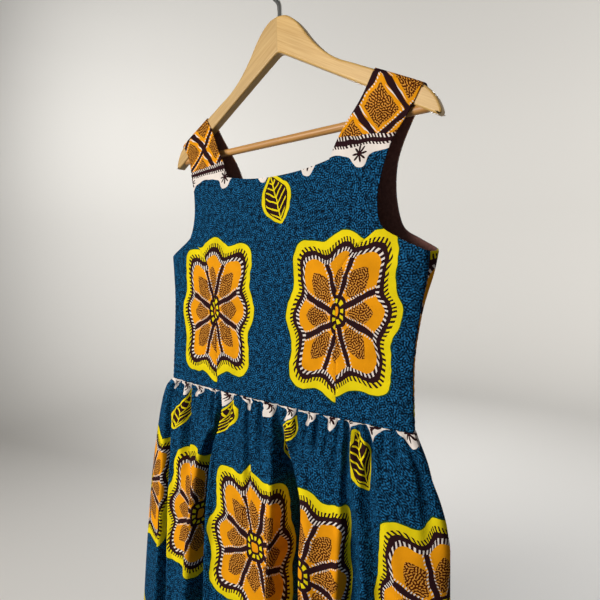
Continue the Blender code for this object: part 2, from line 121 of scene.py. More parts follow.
def linear(colour):
    """An sRGB hex colour as linear red, green, blue and alpha."""
    parts = [int(colour[i : i + 2], 16) / 255 for i in (1, 3, 5)]
    lit = [p / 12.92 if p <= 0.04045 else ((p + 0.055) / 1.055) ** 2.4 for p in parts]
    return (*lit, 1.0)


def fill(tree, socket, value):
    """Link an output into a socket, or set the socket's own value; None leaves it as it is."""
    if isinstance(value, bpy.types.NodeSocket):
        tree.links.new(value, socket)
    elif value is not None:
        socket.default_value = linear(value) if isinstance(value, str) else value


def add_node(tree, kind, *inputs, out=0, **settings):
    """Add one node and give back one of its outputs."""
    kind, _, operation = (f"Math:{SIGNS[kind]}" if kind in SIGNS else kind).partition(":")
    node = tree.nodes.new("ShaderNode" + kind)
    if operation:
        node.operation = operation
    for name, value in settings.items():
        setattr(node, name, value)
    for socket, value in zip([s for s in node.inputs if s.enabled], inputs):
        fill(tree, socket, value)
    return [s for s in node.outputs if s.enabled][out]


def new_material(name, **constants):
    """A Principled material, what adds its nodes, and what fills the shader's sockets."""
    material = bpy.data.materials.new(name)
    material.use_nodes = True
    tree = material.node_tree
    shader = tree.nodes["Principled BSDF"]

    def give(**sockets):
        for title, value in sockets.items():
            title = title.replace("_", " ").title().replace("Ior", "IOR")
            fill(tree, shader.inputs[title], value)

    give(**constants)
    return material, partial(add_node, tree), give


# %% [markdown]
# ## The print
# Wax print is a plain-woven cotton. Wax or resin is printed on both faces, the cloth is
# dyed, the wax is washed out, and the other colours are printed in what it kept clear. So
# both faces show the same pattern, its edges waver a little, and the colours are flat and
# strong. A painted image could do, but nodes stay sharp from close by and repeat for ever.
# Ours draw plain traditional elements: a ground of short strokes like worms, cartouches with
# a lobed halo and eight petals, single leaves, and a border of scallops and lozenges. Sizes
# are in millimetres on the flat cloth, because each panel carries a UV map called flat_cut
# that says where its threads lay before it was sewn. The Gabor texture gives the worms:
# waves of one width that turn at random. They lie about 3.1 mm apart, two to three pixels in
# the picture.

# %% The ground of the print
NAVY, WORM_BLUE, WORM_LIGHT = "#051828", "#134569", "#206b9f"
HALO_YELLOW, HALO_EDGE = "#e8d315", "#1f4a2c"
FIELD_ORANGE, PETAL_OCHRE, WORM_BROWN = "#ea9a12", "#d7943a", "#4f2006"
DARK_MAROON, CLEAR_WHITE = "#2c171b", "#e9e0da"


def print_ground(node, threads):
    """The wavering place that the pattern is drawn at, the worms' mask, and their dye."""
    waver = node("TexNoise", threads, 0.05, 1.0, out=1, noise_dimensions="2D")
    place = node("VectorMath:MULTIPLY_ADD", waver, (5.0, 5.0, 0.0), threads)
    worms = node("TexGabor", threads, 0.13, 2.5, 0.0, gabor_type="2D")
    patches = node("TexNoise", threads, 0.2, 3.0, noise_dimensions="2D")
    dye = node("Math:MULTIPLY_ADD", patches, 0.62, node("+", worms, -0.31))
    return place, worms, dye


def stripes(node, one, one_rate, other, other_rate, share):
    """A mask of slanted stripes that fill this share of each turn."""
    turn = node("+", node("*", one, one_rate), node("*", other, other_rate))
    return node("<", node("Math:FRACT", turn), share)


# %% [markdown]
# A cartouche is drawn in one cell of the repeat, and WRAP brings every place on the cloth
# into that cell. The fourth root of x^4 + y^4 is a radius that grows squarish with round
# corners, and the cosine of eight times the angle adds eight lobes. Each part is a mask,
# such as "radius under 20" or a product of some, and the masks are painted over each other
# from the ground up, as a printer's blocks are.

# %% The cartouche
CELL = (114.0, 165.0, 0.0), (-114.0, -165.0, 0.0)  # the repeat is 228 by 330 mm
CARTOUCHE_AT = (-116.5, 197.5, 0.0)
WORM_LEVEL = 0.47  # above it a small worm is printed in the petals and lozenges


def cartouche(node, place, worms):
    """The layers of a cartouche, from the lowest: a colour and the masks it needs."""
    cell = node("VectorMath:WRAP", node("VectorMath:ADD", place, CARTOUCHE_AT), *CELL)
    cell = node("VectorMath:MULTIPLY", cell, (1.27, 1.0, 0.0))
    square = node("VectorMath:MULTIPLY", cell, cell)
    radius = node("Math:POWER", node("VectorMath:DOT_PRODUCT", square, square), 0.25)
    across, up = node("SeparateXYZ", cell), node("SeparateXYZ", cell, out=1)
    turns = node("Math:DIVIDE", node("Math:ARCTAN2", across, up), math.tau)
    lobes = node("Math:COSINE", node("*", turns, 8 * math.tau))
    halo = node("+", radius, node("*", lobes, -6.5))
    ring = node("+", radius, node("*", lobes, -7.5))
    feathers = stripes(node, turns, 112.0, radius, 0.05, 0.5)
    ring_ticks = stripes(node, turns, 96.0, radius, -0.06, 0.42)
    petal_turn = node("Math:WRAP", node("*", turns, 8.0), 0.5, -0.5)
    off_petal = node("*", node("Math:ABSOLUTE", petal_turn), node("*", radius, math.tau / 8))
    off_spoke = node("-", node("*", radius, math.tau / 16), off_petal)
    along = node("*", node("+", radius, -44.0), 1 / 21.0)
    petal_width = node("Math:MULTIPLY_ADD", along, node("*", along, -1.0), 1.0)
    petal = node("<", off_petal, node("*", petal_width, 14.0))
    spoke_ticks = stripes(node, radius, 1 / 4.2, off_spoke, 0.12, 0.42)
    inside = ("<", ring, 74.0), (">", radius, 17.0)
    heart_ticks = node("<", node("Math:FRACT", node("*", turns, 10.0)), 0.55)
    heart_ticks = node("*", heart_ticks, node(">", radius, 10.0))
    return (
        (HALO_EDGE, ("<", halo, 103.0)),
        (HALO_YELLOW, ("<", halo, 101.4)),
        (DARK_MAROON, ("<", ring, 92.0), feathers),
        (DARK_MAROON, ("<", ring, 86.0)),
        (CLEAR_WHITE, ("<", ring, 79.5), ring_ticks),
        (FIELD_ORANGE, ("<", ring, 74.0)),
        (PETAL_OCHRE, petal),
        (WORM_BROWN, petal, (">", worms, WORM_LEVEL)),
        (CLEAR_WHITE, *inside, ("<", off_spoke, 5.6), spoke_ticks),
        (DARK_MAROON, *inside, ("<", off_spoke, 3.5)),
        (DARK_MAROON, ("<", radius, 20.0)),
        (HALO_YELLOW, ("<", radius, 15.5), heart_ticks),
        (FIELD_ORANGE, ("<", radius, 6.5)),
    )


# %% [markdown]
# Between the cartouches lies a tilted leaf with a yellow edge and veins. The border runs
# above y = 0: white scallops hang below its line, then come a dark bar with slanted ticks
# and a band of lozenges. The straps are cut from it, and the skirt's top from its scallops.

# %% The leaf and the border
LEAF_AT, LEAF_TILT = (-2.5, 42.5, 0.0), math.radians(-20)
SCALLOP_PITCH = 76.0
LOZENGE_WIDE, LOZENGE_HIGH = 34.0, 41.0  # half a lozenge


def leaf_and_border(node, place, worms):
    """The layers of the leaf and of the border, from the lowest."""
    cell = node("VectorMath:WRAP", node("VectorMath:ADD", place, LEAF_AT), *CELL)
    cell = node("VectorRotate", cell, None, LEAF_TILT, rotation_type="Z_AXIS")
    off_rib = node("Math:ABSOLUTE", node("SeparateXYZ", cell))
    along = node("SeparateXYZ", cell, out=1)
    narrow = node("*", along, node("*", along, 20.0 / 33.0**2))
    leaf = node("+", off_rib, node("+", narrow, -20.0))
    near = ("<", node("Math:ABSOLUTE", along), 36.0)
    vein = node("*", node("+", along, node("*", off_rib, -0.9)), 1 / 10.0)
    vein = node("Math:FRACT", vein)

    x, y = node("SeparateXYZ", place), node("SeparateXYZ", place, out=1)
    seed_y = node("+", y, 1.0)
    scallop_x = node("Math:WRAP", node("+", x, 24.0), SCALLOP_PITCH / 2, -SCALLOP_PITCH / 2)
    round_x, round_y = node("*", scallop_x, scallop_x), node("*", seed_y, seed_y)
    bell = node("Math:EXPONENT", node("*", node("*", round_x, round_x), -1 / 9000.0))
    wing = node("Math:EXPONENT", node("*", round_x, -1 / 330.0))
    scallop = node("+", y, node("+", node("*", bell, 10.0), node("*", wing, 8.0)))
    seed_turn = node("Math:ARCTAN2", scallop_x, seed_y)
    seed_lobes = node("*", node("Math:COSINE", node("*", seed_turn, 8.0)), 3.6)
    seed = node("Math:SQRT", node("+", node("*", round_x, 1.3), round_y))
    seed = node("+", seed, node("*", seed_lobes, -1.0))
    bar_turn = node("Math:FRACT", node("*", node("+", x, node("*", y, 0.5)), 1 / 4.4))

    lozenge_x = node("Math:PINGPONG", node("+", x, 20.0), LOZENGE_WIDE)
    lozenge_y = node("Math:PINGPONG", node("+", y, -14.0), LOZENGE_HIGH)
    lozenge_x = node("*", lozenge_x, 1 / LOZENGE_WIDE)
    lozenge_y = node("*", lozenge_y, 1 / LOZENGE_HIGH)
    from_line = node("Math:ABSOLUTE", node("+", node("+", lozenge_x, lozenge_y), -1.0))
    from_line = node("*", from_line, 19.0)
    line_ticks = stripes(node, x, 0.16, y, 0.18, 0.42)
    band = node(">", y, 21.0)
    lozenge = band, (">", from_line, 6.6)
    return (
        (HALO_EDGE, near, ("<", leaf, 6.6)),
        (HALO_YELLOW, near, ("<", leaf, 5.4)),
        (DARK_MAROON, ("<", leaf, 0.0)),
        (HALO_YELLOW, ("<", leaf, -2.0), ("<", vein, 0.26)),
        (HALO_YELLOW, ("<", leaf, -1.0), ("<", off_rib, 1.0)),
        (CLEAR_WHITE, (">", scallop, 0.6)),
        (DARK_MAROON, ("<", seed, 7.0)),
        (DARK_MAROON, (">", y, 8.0), ("<", bar_turn, 0.55)),
        (DARK_MAROON, (">", y, 11.0)),
        (CLEAR_WHITE, (">", y, 16.5), ("<", bar_turn, 0.42)),
        (FIELD_ORANGE, band),
        (PETAL_OCHRE, *lozenge),
        (WORM_BROWN, *lozenge, (">", worms, WORM_LEVEL)),
        (CLEAR_WHITE, band, ("<", from_line, 4.0), line_ticks),
        (DARK_MAROON, band, ("<", from_line, 2.7)),
    )


# %% [markdown]
# ### The cottons
# A thread is about 0.35 mm wide, too fine for the picture, so the plain weave of both
# cottons is drawn at 1.2 mm, with slubs where the yarn is uneven. The printed one has a
# light starch. It is nearly matt, and its tone varies a little where dye lies in the cloth.
# The lining is plain dark brown, but its browns are drawn lighter than its own: painted light
# for the light that comes in through the armholes.

# %% Materials: printed cotton and lining cotton
WEAVE = 1.2  # mm, drawn coarse


def new_cotton(name, slub_scale, slub_detail, **constants):
    """A plain-woven cotton with its relief, its threads' places in mm, and its slubs."""
    material, node, give = new_material(name, **constants)
    threads = node("UVMap", uv_map="flat_cut")
    threads = node("VectorMath:MULTIPLY", threads, (1000.0, 1000.0, 0.0))
    waves = node("VectorMath:SINE", node("VectorMath:SCALE", threads, math.tau / WEAVE))
    weave = node("*", node("SeparateXYZ", waves), node("SeparateXYZ", waves, out=1))
    slubs = node("TexNoise", threads, slub_scale, slub_detail, noise_dimensions="2D")
    height = node("+", node("*", weave, 0.3), slubs)
    give(normal=node("Bump", 0.35, 0.0004, None, height))
    return material, node, give, threads, slubs


def make_print_cotton():
    """Starched cotton, dyed blue over black and printed by resist."""
    material, node, give, threads, slubs = new_cotton(
        "resist_printed_cotton", 0.6, 2.0, specular_ior_level=0.02
    )
    place, worms, dye = print_ground(node, threads)
    layers = (
        (WORM_BLUE, ("MapRange", dye, 0.44, 0.52)),
        (WORM_LIGHT, ("MapRange", dye, 0.60, 0.68)),
        *cartouche(node, place, worms),
        *leaf_and_border(node, place, worms),
    )
    colour = NAVY
    for paint, *masks in layers:
        masks = [node(*mask) if isinstance(mask, tuple) else mask for mask in masks]
        mask = reduce(partial(node, "*"), masks)
        colour = node("Mix", mask, colour, paint, data_type="RGBA")
    tone = node("TexNoise", threads, 0.035, 3.0, noise_dimensions="2D")
    tone = node("MapRange", tone, 0.3, 0.7, 0.90, 1.08)
    give(
        base_color=node("HueSaturation", 0.5, 1.0, tone, 1.0, colour),
        roughness=node("MapRange", slubs, 0.3, 0.7, 0.68, 0.80),
    )
    return material


def make_lining_cotton():
    """Cotton dyed in one bath, so its two browns lie close; both are lightened as painted
    light.
    """
    material, node, give, _, slubs = new_cotton(
        "lining_cotton_with_painted_light", 0.25, 3.0, roughness=0.86, sheen_weight=0.15
    )
    tone = node("MapRange", slubs, 0.3, 0.7, 0.0, 1.0)
    # Both browns are lighter than the dyed cloth's own: painted light for the light that falls
    # on the lining through the armholes.
    give(base_color=node("Mix", tone, "#7a4e47", "#8e6058", data_type="RGBA"))
    return material


print_cotton, lining_cotton = make_print_cotton(), make_lining_cotton()
print("nodes of the print:", len(print_cotton.node_tree.nodes))

# %% [markdown]
# ### Wood and steel
# The hanger is maple, sanded and varnished: pale, with fine streaks along each arm and a
# soft gloss. It is glued from two pieces that meet in the middle. Its left half is painted a
# little darker and its right half a little lighter: painted shade and painted light for how
# the light falls across it. Noise that is stretched along the grain draws the streaks,
# because it varies as wood does, where a wave texture would give even bands. The bar is a
# turned dowel of a browner wood, and the hook a bent steel rod with a bright chrome plate.


# %% Materials: varnished maple, turned hardwood and chromed steel
def make_wood(name, pale, dark, grain, painted_shading_of_halves=(1.0, 1.0)):
    """Varnished wood, its grain along the X of the map grain_run, its lines grain mm apart."""
    material, node, give = new_material(
        name, ior=1.45, coat_weight=0.12, coat_roughness=0.3, roughness=0.46
    )
    run = node("UVMap", uv_map="grain_run")
    place = node("TexCoord", out=3)
    depth = node("SeparateXYZ", place, out=1)
    run = node("CombineXYZ", node("SeparateXYZ", run), node("SeparateXYZ", run, out=1), depth)
    streak = node("VectorMath:MULTIPLY", run, (14.0, 1000 / grain, 1000 / grain))
    lines = node("MapRange", node("TexNoise", streak, 1.0, 3.0, 0.6), 0.35, 0.7, 0.0, 1.0)
    pores = node("TexNoise", node("VectorMath:MULTIPLY", run, (90.0, 1600.0, 1600.0)), 1.0, 2.0)
    clouds = node("TexNoise", node("VectorMath:MULTIPLY", run, (9.0, 30.0, 30.0)), 1.0, 2.0)
    colour = node("Mix", lines, pale, dark, data_type="RGBA")
    tone = node("+", clouds, node("*", pores, 0.5))
    tone = node("MapRange", tone, 0.5, 1.0, 0.93, 1.06)
    # Painted shade and painted light: these two factors darken the left half and lighten the
    # right half, for how the light falls across the hanger.
    half = node("MapRange", node(">", node("SeparateXYZ", place), 0.0), 0.0, 1.0, *painted_shading_of_halves)
    for value in (tone, half):
        colour = node("HueSaturation", 0.5, 1.0, value, 1.0, colour)
    give(base_color=colour, normal=node("Bump", 0.2, 0.0002, None, pores))
    return material


def make_chrome():
    """Chrome plate on steel: a mirror with a little haze and fine marks from handling."""
    material, node, give = new_material(
        "chrome_plated_steel", metallic=1.0, base_color="#cfd0cf"
    )
    marks = node("TexNoise", node("TexCoord", out=3), 900.0, 3.0)
    give(
        roughness=node("MapRange", marks, 0.35, 0.75, 0.10, 0.26),
        normal=node("Bump", 0.05, 0.0001, None, marks),
    )
    return material


# The last two numbers darken maple's left half and lighten its right half: painted shade and
# painted light.
maple = make_wood("varnished_maple", "#d8b26e", "#c39850", 2.2, (0.86, 1.04))
bar_wood = make_wood("turned_hardwood", "#cf9a56", "#b07a3e", 1.4)
chrome = make_chrome()
print("materials:", ", ".join(material.name for material in bpy.data.materials))

# %% [markdown]
# ## Curves and sections
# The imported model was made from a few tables: sections of the dress at given heights, and
# the outlines of its panels. We repeat them here, and lay a finer mesh through the same
# smooth curves. A Catmull-Rom curve passes through all its points, so a table row is also a
# place on the cloth. Heights are drops below the top of the hanger's crown.

# %% Curve helpers
HOOK_RISE = 0.070  # from the top of the crown up to the origin


def z_of(drop):
    return -HOOK_RISE - drop


def smooth_step(value):
    value = np.clip(value, 0.0, 1.0)
    return value * value * (3.0 - 2.0 * value)


def through(points, fine=12):
    """A Catmull-Rom curve through the points, as an array of rows."""
    rows = np.array(points, float)
    rows = np.vstack([2 * rows[0] - rows[1], rows, 2 * rows[-1] - rows[-2]])
    t = (np.arange(fine) / fine)[:, None]
    out = []
    for before, start, end, after in zip(rows, rows[1:], rows[2:], rows[3:]):
        bend = 2 * before - 5 * start + 4 * end - after
        twist = 3 * start - before - 3 * end + after
        out.append(0.5 * (2 * start + (end - before) * t + bend * t**2 + twist * t**3))
    return np.vstack([*out, rows[-2]])


def lengths_along(curve):
    """The length of a curve up to each of its points."""
    steps = np.linalg.norm(np.diff(curve, axis=0), axis=1)
    return np.concatenate([[0.0], np.cumsum(steps)])


def shares_of(curve):
    along = lengths_along(curve)
    return along / along[-1]


def spaced(curve, shares):
    """The points of a curve at the given shares of its length."""
    along = shares_of(curve)
    return np.stack([np.interp(shares, along, column) for column in curve.T], 1)


def between(start, end, shares):
    return start + shares * (end - start)


def unit(vectors):
    return vectors / np.linalg.norm(vectors, axis=-1, keepdims=True)


def sideways(along):
    """Unit vectors a quarter turn clockwise of the given ones."""
    along = unit(along)
    return np.stack([along[:, 1], -along[:, 0]], 1)


def table_at(curve, drop):
    """The columns of a table at one drop or many; its first column holds the drops."""
    return [np.interp(drop, curve[:, 0], column) for column in curve.T[1:]]


def quarter(half_width, side, middle, square, fine):
    """A quarter of a section, from its middle to its side, as x and y."""
    turn = np.linspace(0.0, math.pi / 2, fine)
    x = half_width * np.sin(turn) ** (2.0 / square)
    y = side + (middle - side) * np.cos(turn).clip(0) ** (2.0 / square)
    return np.stack([x, y], 1)


def patch(left, right, bottom, top):
    """A four-sided patch between edges that share corners and run upwards or rightwards."""
    u = shares_of(bottom)[None, :, None]
    v = shares_of(right)[:, None, None]
    across = (1 - u) * left[:, None] + u * right[:, None]
    upward = (1 - v) * bottom[None] + v * top[None]
    low = (1 - u) * bottom[0] + u * bottom[-1]
    high = (1 - u) * top[0] + u * top[-1]
    return across + upward - ((1 - v) * low + v * high)


# %% [markdown]
# ## Cloth from grids
# A panel is one or more grids of points on its outer face. We join them where they share an
# edge, push a copy inwards by the cloth's thickness, and close the rim: a real thin wall
# with a cut edge. A Solidify modifier could do it too, but a panel and its lining have to be
# pushed along the same normals, or they would cut through each other. The UV map holds each
# point's place on the flat cloth.


# %% The cloth wall
def make_wall(name, cloth, material, thickness, inset=0.0):
    """A thin wall with a rim, from grids of outer points, their normals and flat places.

    A grid's rows run upwards and its columns rightwards, as seen from outside. Points that
    agree to a micrometre are one corner.
    """
    corners, faces = {}, []
    for grid in cloth:
        ids = [
            [corners.setdefault(tuple(np.round(c[0], 6)), (len(corners), *c))[0]
             for c in zip(*row)]
            for row in zip(*grid)
        ]
        for low, high in zip(ids, ids[1:]):
            faces += zip(low, low[1:], high[1:], high)
    _, outer, normals, flat = (np.array(column) for column in zip(*corners.values()))
    outer = outer - inset * normals
    inner = outer - thickness * normals
    count = len(outer)
    directed = {(a, b) for face in faces for a, b in zip(face, face[1:] + face[:1])}
    faces += [tuple(i + count for i in reversed(face)) for face in faces]
    faces += sorted((b, a, a + count, b + count) for a, b in directed if (b, a) not in directed)
    mesh = bpy.data.meshes.new(name)
    mesh.from_pydata(np.vstack([outer, inner]).tolist(), [], faces)
    order = np.empty(len(mesh.loops), dtype=np.int32)
    mesh.loops.foreach_get("vertex_index", order)
    places = np.vstack([flat, flat])[order].ravel()
    mesh.uv_layers.new(name="flat_cut").data.foreach_set("uv", places)
    return add_mesh(mesh, material, sharp=60)


def add_mesh(mesh, material, sharp=None):
    """An object for a smooth mesh; edges bent by more than sharp degrees stay sharp."""
    mesh.shade_smooth()
    if sharp is not None:
        mesh.set_sharp_from_angle(angle=math.radians(sharp))
    mesh.materials.append(material)
    return add_object(mesh.name, mesh)


def grid_normals(grid, reference):
    """Normals of a grid of points, on the side that faces the reference direction."""
    normals = unit(np.cross(np.gradient(grid, axis=1), np.gradient(grid, axis=0)))
    return normals * np.sign((normals.mean(axis=(0, 1)) * reference).sum())


def finish_piece(piece, material_slot, *nodes):
    """Every piece rides on the one body and replaces nodes; material_slot is not used."""
    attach(piece, "root")
    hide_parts(*nodes)
    return piece


# %% [markdown]
# ## The bodice's shape
# The bodice is a tube that hangs from the hanger: flat and square at the shoulders, where
# the wood spreads it, and rounder at the waist, where the gathered skirt pulls it in. It
# could be sculpted, but a table keeps it to measure: each row is one level section. The
# dress hangs a little askew, so the lower ones are shifted to the left.

# %% Sections and edges of the bodice
CLOTH, LINING = 0.0015, 0.0010  # drawn thicker than real cotton
GAP, REST = 0.0003, 0.00035  # between panels at a seam, and between cloth and wood
HANGER_THICK, HANGER_EDGE = 0.014, 0.0025
NECK_HALF, NECK_DROP, NECK_DIP, BACK_NECK_DIP = 0.090, 0.204, 0.010, 0.006
WAIST_DROP, UNDERARM_DROP, SIDE_PLACE = 0.526, 0.321, 0.9993
BUST_OUT, BUST_DROP, BUST_RISE, BUST_SPREAD = 0.108, 0.350, 0.0045, 0.048
SHOULDER_SEAM, ARM_STRETCH, STRAP_HUG, STRAP_LEAVE = 0.002, 1.12, 0.020, 0.060

# drop, half width, y of side, middle front and middle back, squareness, shift along x
BODICE = (
    (0.100, 0.240, 0.000, -0.0105, 0.0115, 5.0, 0.000),
    (0.204, 0.235, -0.004, -0.0225, 0.0130, 5.0, 0.000),
    (0.290, 0.226, -0.014, -0.0350, 0.0160, 5.0, 0.000),
    (0.321, 0.220, -0.019, -0.0380, 0.0170, 4.6, -0.001),
    (0.350, 0.219, -0.022, -0.0400, 0.0160, 3.2, -0.002),
    (0.395, 0.215, -0.026, -0.0420, 0.0120, 2.4, -0.005),
    (0.450, 0.213, -0.031, -0.0435, 0.0060, 2.2, -0.008),
    (0.526, 0.217, -0.034, -0.0455, -0.0010, 2.2, -0.010),
)
# The edges on the right half, as x and drop.
HANGER_TOP = (
    (0.000, 0.0000), (0.014, 0.0028), (0.027, 0.0115), (0.039, 0.0243), (0.050, 0.0390),
    (0.062, 0.0530), (0.076, 0.0665), (0.094, 0.0795), (0.118, 0.0918), (0.150, 0.1085),
    (0.198, 0.1335), (0.210, 0.1422), (0.2185, 0.1530), (0.2235, 0.1640),
)
ARMHOLE = (
    (0.2035, 0.1365), (0.1860, 0.1680), (0.1720, 0.1960), (0.1625, 0.2280), (0.1590, 0.2620),
    (0.1660, 0.2900), (0.1890, 0.3055), (0.2200, UNDERARM_DROP),
)
PRINCESS = (
    ARMHOLE[5], (0.1480, 0.3035), (0.1290, 0.3200), (0.1150, 0.3420), (0.1090, 0.3720),
    (0.1070, 0.4300), (0.1070, WAIST_DROP),
)
PRINCESS_DROP = ARMHOLE[5][1]  # where the princess seam leaves the armhole
STRAP_INNER = ((NECK_HALF, NECK_DROP), (0.1010, 0.1800), (0.1200, 0.1500), (0.1455, 0.1062))
BACK_FULLER = 0.0075  # a back armhole is cut less deep than a front one
# The back rounds out behind the underarm: by how much, how far down, from which place, and
# within which shares of the width it grows and ends.
SIDE_FULL, SIDE_FULL_DROP = 0.0045, 0.05
SIDE_FULL_FROM, SIDE_GROWS, SIDE_ENDS = 0.66, 0.26, 0.06
BORDER_DROP = 0.200  # where the print's border starts on the bodice


class Wall:
    """The outer surface of the bodice's front or back, as a table of fine sections.

    A place on it is 0 at the middle and 1 at the side seam, as a share of the section's
    length at that drop, and negative on the left.
    """

    def __init__(self, is_back):
        self.is_back = is_back
        self.sizes = through(BODICE)
        self.drops = np.linspace(BODICE[0][0], WAIST_DROP, 214)
        shares = np.linspace(0, 1, 241)
        self.table = np.array([spaced(self.section(drop), shares) for drop in self.drops])
        self.reach = np.array([lengths_along(row)[-1] for row in self.table])

    def section(self, drop):
        half, side, front, back, square, _ = table_at(self.sizes, drop)
        return quarter(half, side, back if self.is_back else front, square, fine=700)

    def shift(self, drop):
        return np.interp(drop, self.sizes[:, 0], self.sizes[:, -1])

    def place(self, x, drop):
        curve = self.section(drop)
        x -= self.shift(drop)
        return math.copysign(np.interp(abs(x), curve[:, 0], shares_of(curve)), x)

    def points(self, grid):
        """Points on the surface for a grid of places and drops."""
        place, drop = grid[..., 0], grid[..., 1]
        rows, columns = self.table.shape[:2]
        row = (drop - self.drops[0]) / (self.drops[1] - self.drops[0])
        row = np.clip(row, 0, rows - 1.0001)
        column = np.clip(np.abs(place) * (columns - 1), 0, columns - 1.0001)
        i, j = row.astype(int), column.astype(int)
        v, u = (row - i)[..., None], (column - j)[..., None]
        low = (1 - u) * self.table[i, j] + u * self.table[i, j + 1]
        high = (1 - u) * self.table[i + 1, j] + u * self.table[i + 1, j + 1]
        x, y = np.moveaxis((1 - v) * low + v * high, -1, 0)
        if self.is_back:
            aside = np.abs(place)
            full = smooth_step((1 - aside) / SIDE_ENDS)
            full = full * smooth_step((aside - SIDE_FULL_FROM) / SIDE_GROWS)
            away = ((drop - UNDERARM_DROP) / SIDE_FULL_DROP) ** 2
            x = x + SIDE_FULL * full * np.exp(-away)
        else:
            away = ((x - BUST_OUT) ** 2 + (drop - BUST_DROP) ** 2) / BUST_SPREAD**2
            y = y - BUST_RISE * np.exp(-away)
        return np.stack([np.copysign(x, place) + self.shift(drop), y, z_of(drop)], -1)

    def flat(self, grid):
        """Places on the flat cloth, in metres, with the border's line at y = 0."""
        across = grid[..., 0] * np.interp(grid[..., 1], self.drops, self.reach)
        return np.stack([across, BORDER_DROP - grid[..., 1]], -1)


FRONT, BACK = Wall(is_back=False), Wall(is_back=True)
print(f"waist of the bodice: {1000 * 2 * (FRONT.reach[-1] + BACK.reach[-1]):.0f} mm round")

# %% Edges of the bodice panels
SEAM_ROWS, ARMHOLE_ROWS, STRAP_ROWS = 96, 52, 46
NECK_COLUMNS, BASE_COLUMNS, SIDE_COLUMNS = 44, 34, 56


def close_at_end(count, power):
    """Shares from 0 to 1 that lie closest together at the end."""
    return 1 - (1 - np.linspace(0, 1, count)) ** power


def hanger_top_drop(x):
    curve = through(HANGER_TOP)
    return np.interp(np.abs(x), curve[:, 0], curve[:, 1])


def armhole_between(high, low):
    """The armhole edge between two drops, running down."""
    curve = through(ARMHOLE)
    inside = curve[(curve[:, 1] > high + 1e-6) & (curve[:, 1] < low - 1e-6)]
    ends = [[np.interp(drop, curve[:, 1], curve[:, 0]), drop] for drop in (high, low)]
    return np.vstack([ends[0], inside, ends[1]])


def strap_base():
    """From the neck corner out to the armhole, at the neck corner's drop."""
    edge = armhole_between(NECK_DROP, UNDERARM_DROP)[0, 0]
    x = NECK_HALF + close_at_end(BASE_COLUMNS, 1.3) * (edge - NECK_HALF)
    return np.stack([x, np.full(len(x), NECK_DROP)], 1)


def neckline(dip):
    """From the middle out to the neck corner."""
    x = np.linspace(0.0, NECK_HALF, NECK_COLUMNS)
    return np.stack([x, NECK_DROP + dip * (1 - (x / NECK_HALF) ** 2)], 1)


def princess_seam():
    return spaced(through(PRINCESS), close_at_end(SEAM_ROWS, 1.3)[::-1])


def side_seam():
    drops = UNDERARM_DROP + close_at_end(SEAM_ROWS, 1.3)[::-1] * (WAIST_DROP - UNDERARM_DROP)
    return np.stack([np.full(SEAM_ROWS, SIDE_PLACE), drops], 1)


def moved_aside(edge, distance):
    return edge - distance * sideways(np.gradient(edge, axis=0))


def placed(wall, edge, side=1):
    """The places and drops on a wall of an edge that is given as x and drop."""
    return np.array([[wall.place(side * x, drop), drop] for x, drop in edge])


base = strap_base()
print("the base of a strap:", np.ptp(base[:, 0]).round(4), "m wide")

# %% [markdown]
# ## Seams and creases
# Sewing draws cloth in: along a seam it sinks by well under a millimetre, and the stitches
# pull it into small puckers every 8 mm or so. Wearing, washing and hanging leave long soft
# creases, each a row in a table. All are shallow troughs in the mesh, and not a bump in the
# finish, because light that grazes the cloth shows even half a millimetre.

# %% Relief of the bodice
SEAM_SINK, SEAM_WIDTH = 0.0007, 0.0018
PUCKER, PUCKER_PITCH, PUCKER_WIDTH, PUCKER_DRIFT = 0.00028, 0.0083, 0.006, 0.031
CREASE_FADE = 1.6  # half widths past its ends
SEAM_RUN_OUT = 0.004  # above its last stitch a seam's relief fades within this

# Millimetres: x and drop of the start, x and drop of the end, half width, depth.
FRONT_CREASES = (
    (-165, 335, -115, 375, 12, 1.2), (165, 335, 118, 372, 12, 1.2),
    (-60, 515, -70, 440, 9, 1.0), (20, 520, 12, 430, 11, 0.9), (75, 518, 60, 450, 9, 1.0),
    (150, 515, 165, 440, 10, 1.1), (-150, 515, -160, 450, 10, 1.0),
    (-50, 232, -90, 300, 14, 0.9), (55, 230, 95, 300, 14, 0.9),
)
BACK_CREASES = (
    (-150, 330, -80, 400, 14, 1.4), (150, 330, 85, 395, 14, 1.4),
    (-110, 520, -120, 440, 10, 1.2), (-40, 515, -45, 450, 9, 1.0), (55, 515, 60, 430, 10, 1.2),
    (130, 520, 140, 455, 10, 1.1), (60, 230, 100, 300, 13, 0.9),
)


def crease_depth(x, drop, creases):
    depth = np.zeros_like(x)
    for x0, drop0, x1, drop1, half_width, deepest in np.array(creases) / 1000:
        way = np.array([x1 - x0, drop1 - drop0])
        length = np.linalg.norm(way)
        along = ((x - x0) * way[0] + (drop - drop0) * way[1]) / length
        aside = ((x - x0) * way[1] - (drop - drop0) * way[0]) / length
        past = np.maximum(np.abs(along - length / 2) - length / 2, 0.0)
        fall = (aside / half_width) ** 2 + (past / (CREASE_FADE * half_width)) ** 2
        depth += deepest * np.exp(-fall)
    return depth


def seam_depth(distance, run):
    """How far cloth sinks at this distance from a seam, with puckers along its run."""
    pucker = PUCKER * np.sin(math.tau * run / PUCKER_PITCH + 2.0 * np.sin(run / PUCKER_DRIFT))
    sink = SEAM_SINK * np.exp(-((distance / SEAM_WIDTH) ** 2))
    return sink + pucker * np.exp(-((distance / PUCKER_WIDTH) ** 2))


def sew_in(points, drops, left, right):
    """Depth of a panel's relief from its seams; left and right give their highest stitch."""
    across = np.linalg.norm(np.diff(points, axis=1), axis=2).cumsum(axis=1)
    across = np.hstack([np.zeros((len(points), 1)), across])
    depth = np.zeros(points.shape[:2])
    for top_drop, distance in ((left, across), (right, across[:, -1:] - across)):
        sewn = smooth_step((drops - top_drop) / SEAM_RUN_OUT + 1.0)
        depth += sewn * seam_depth(distance, drops)
    return depth + seam_depth(WAIST_DROP - drops, points[..., 0])


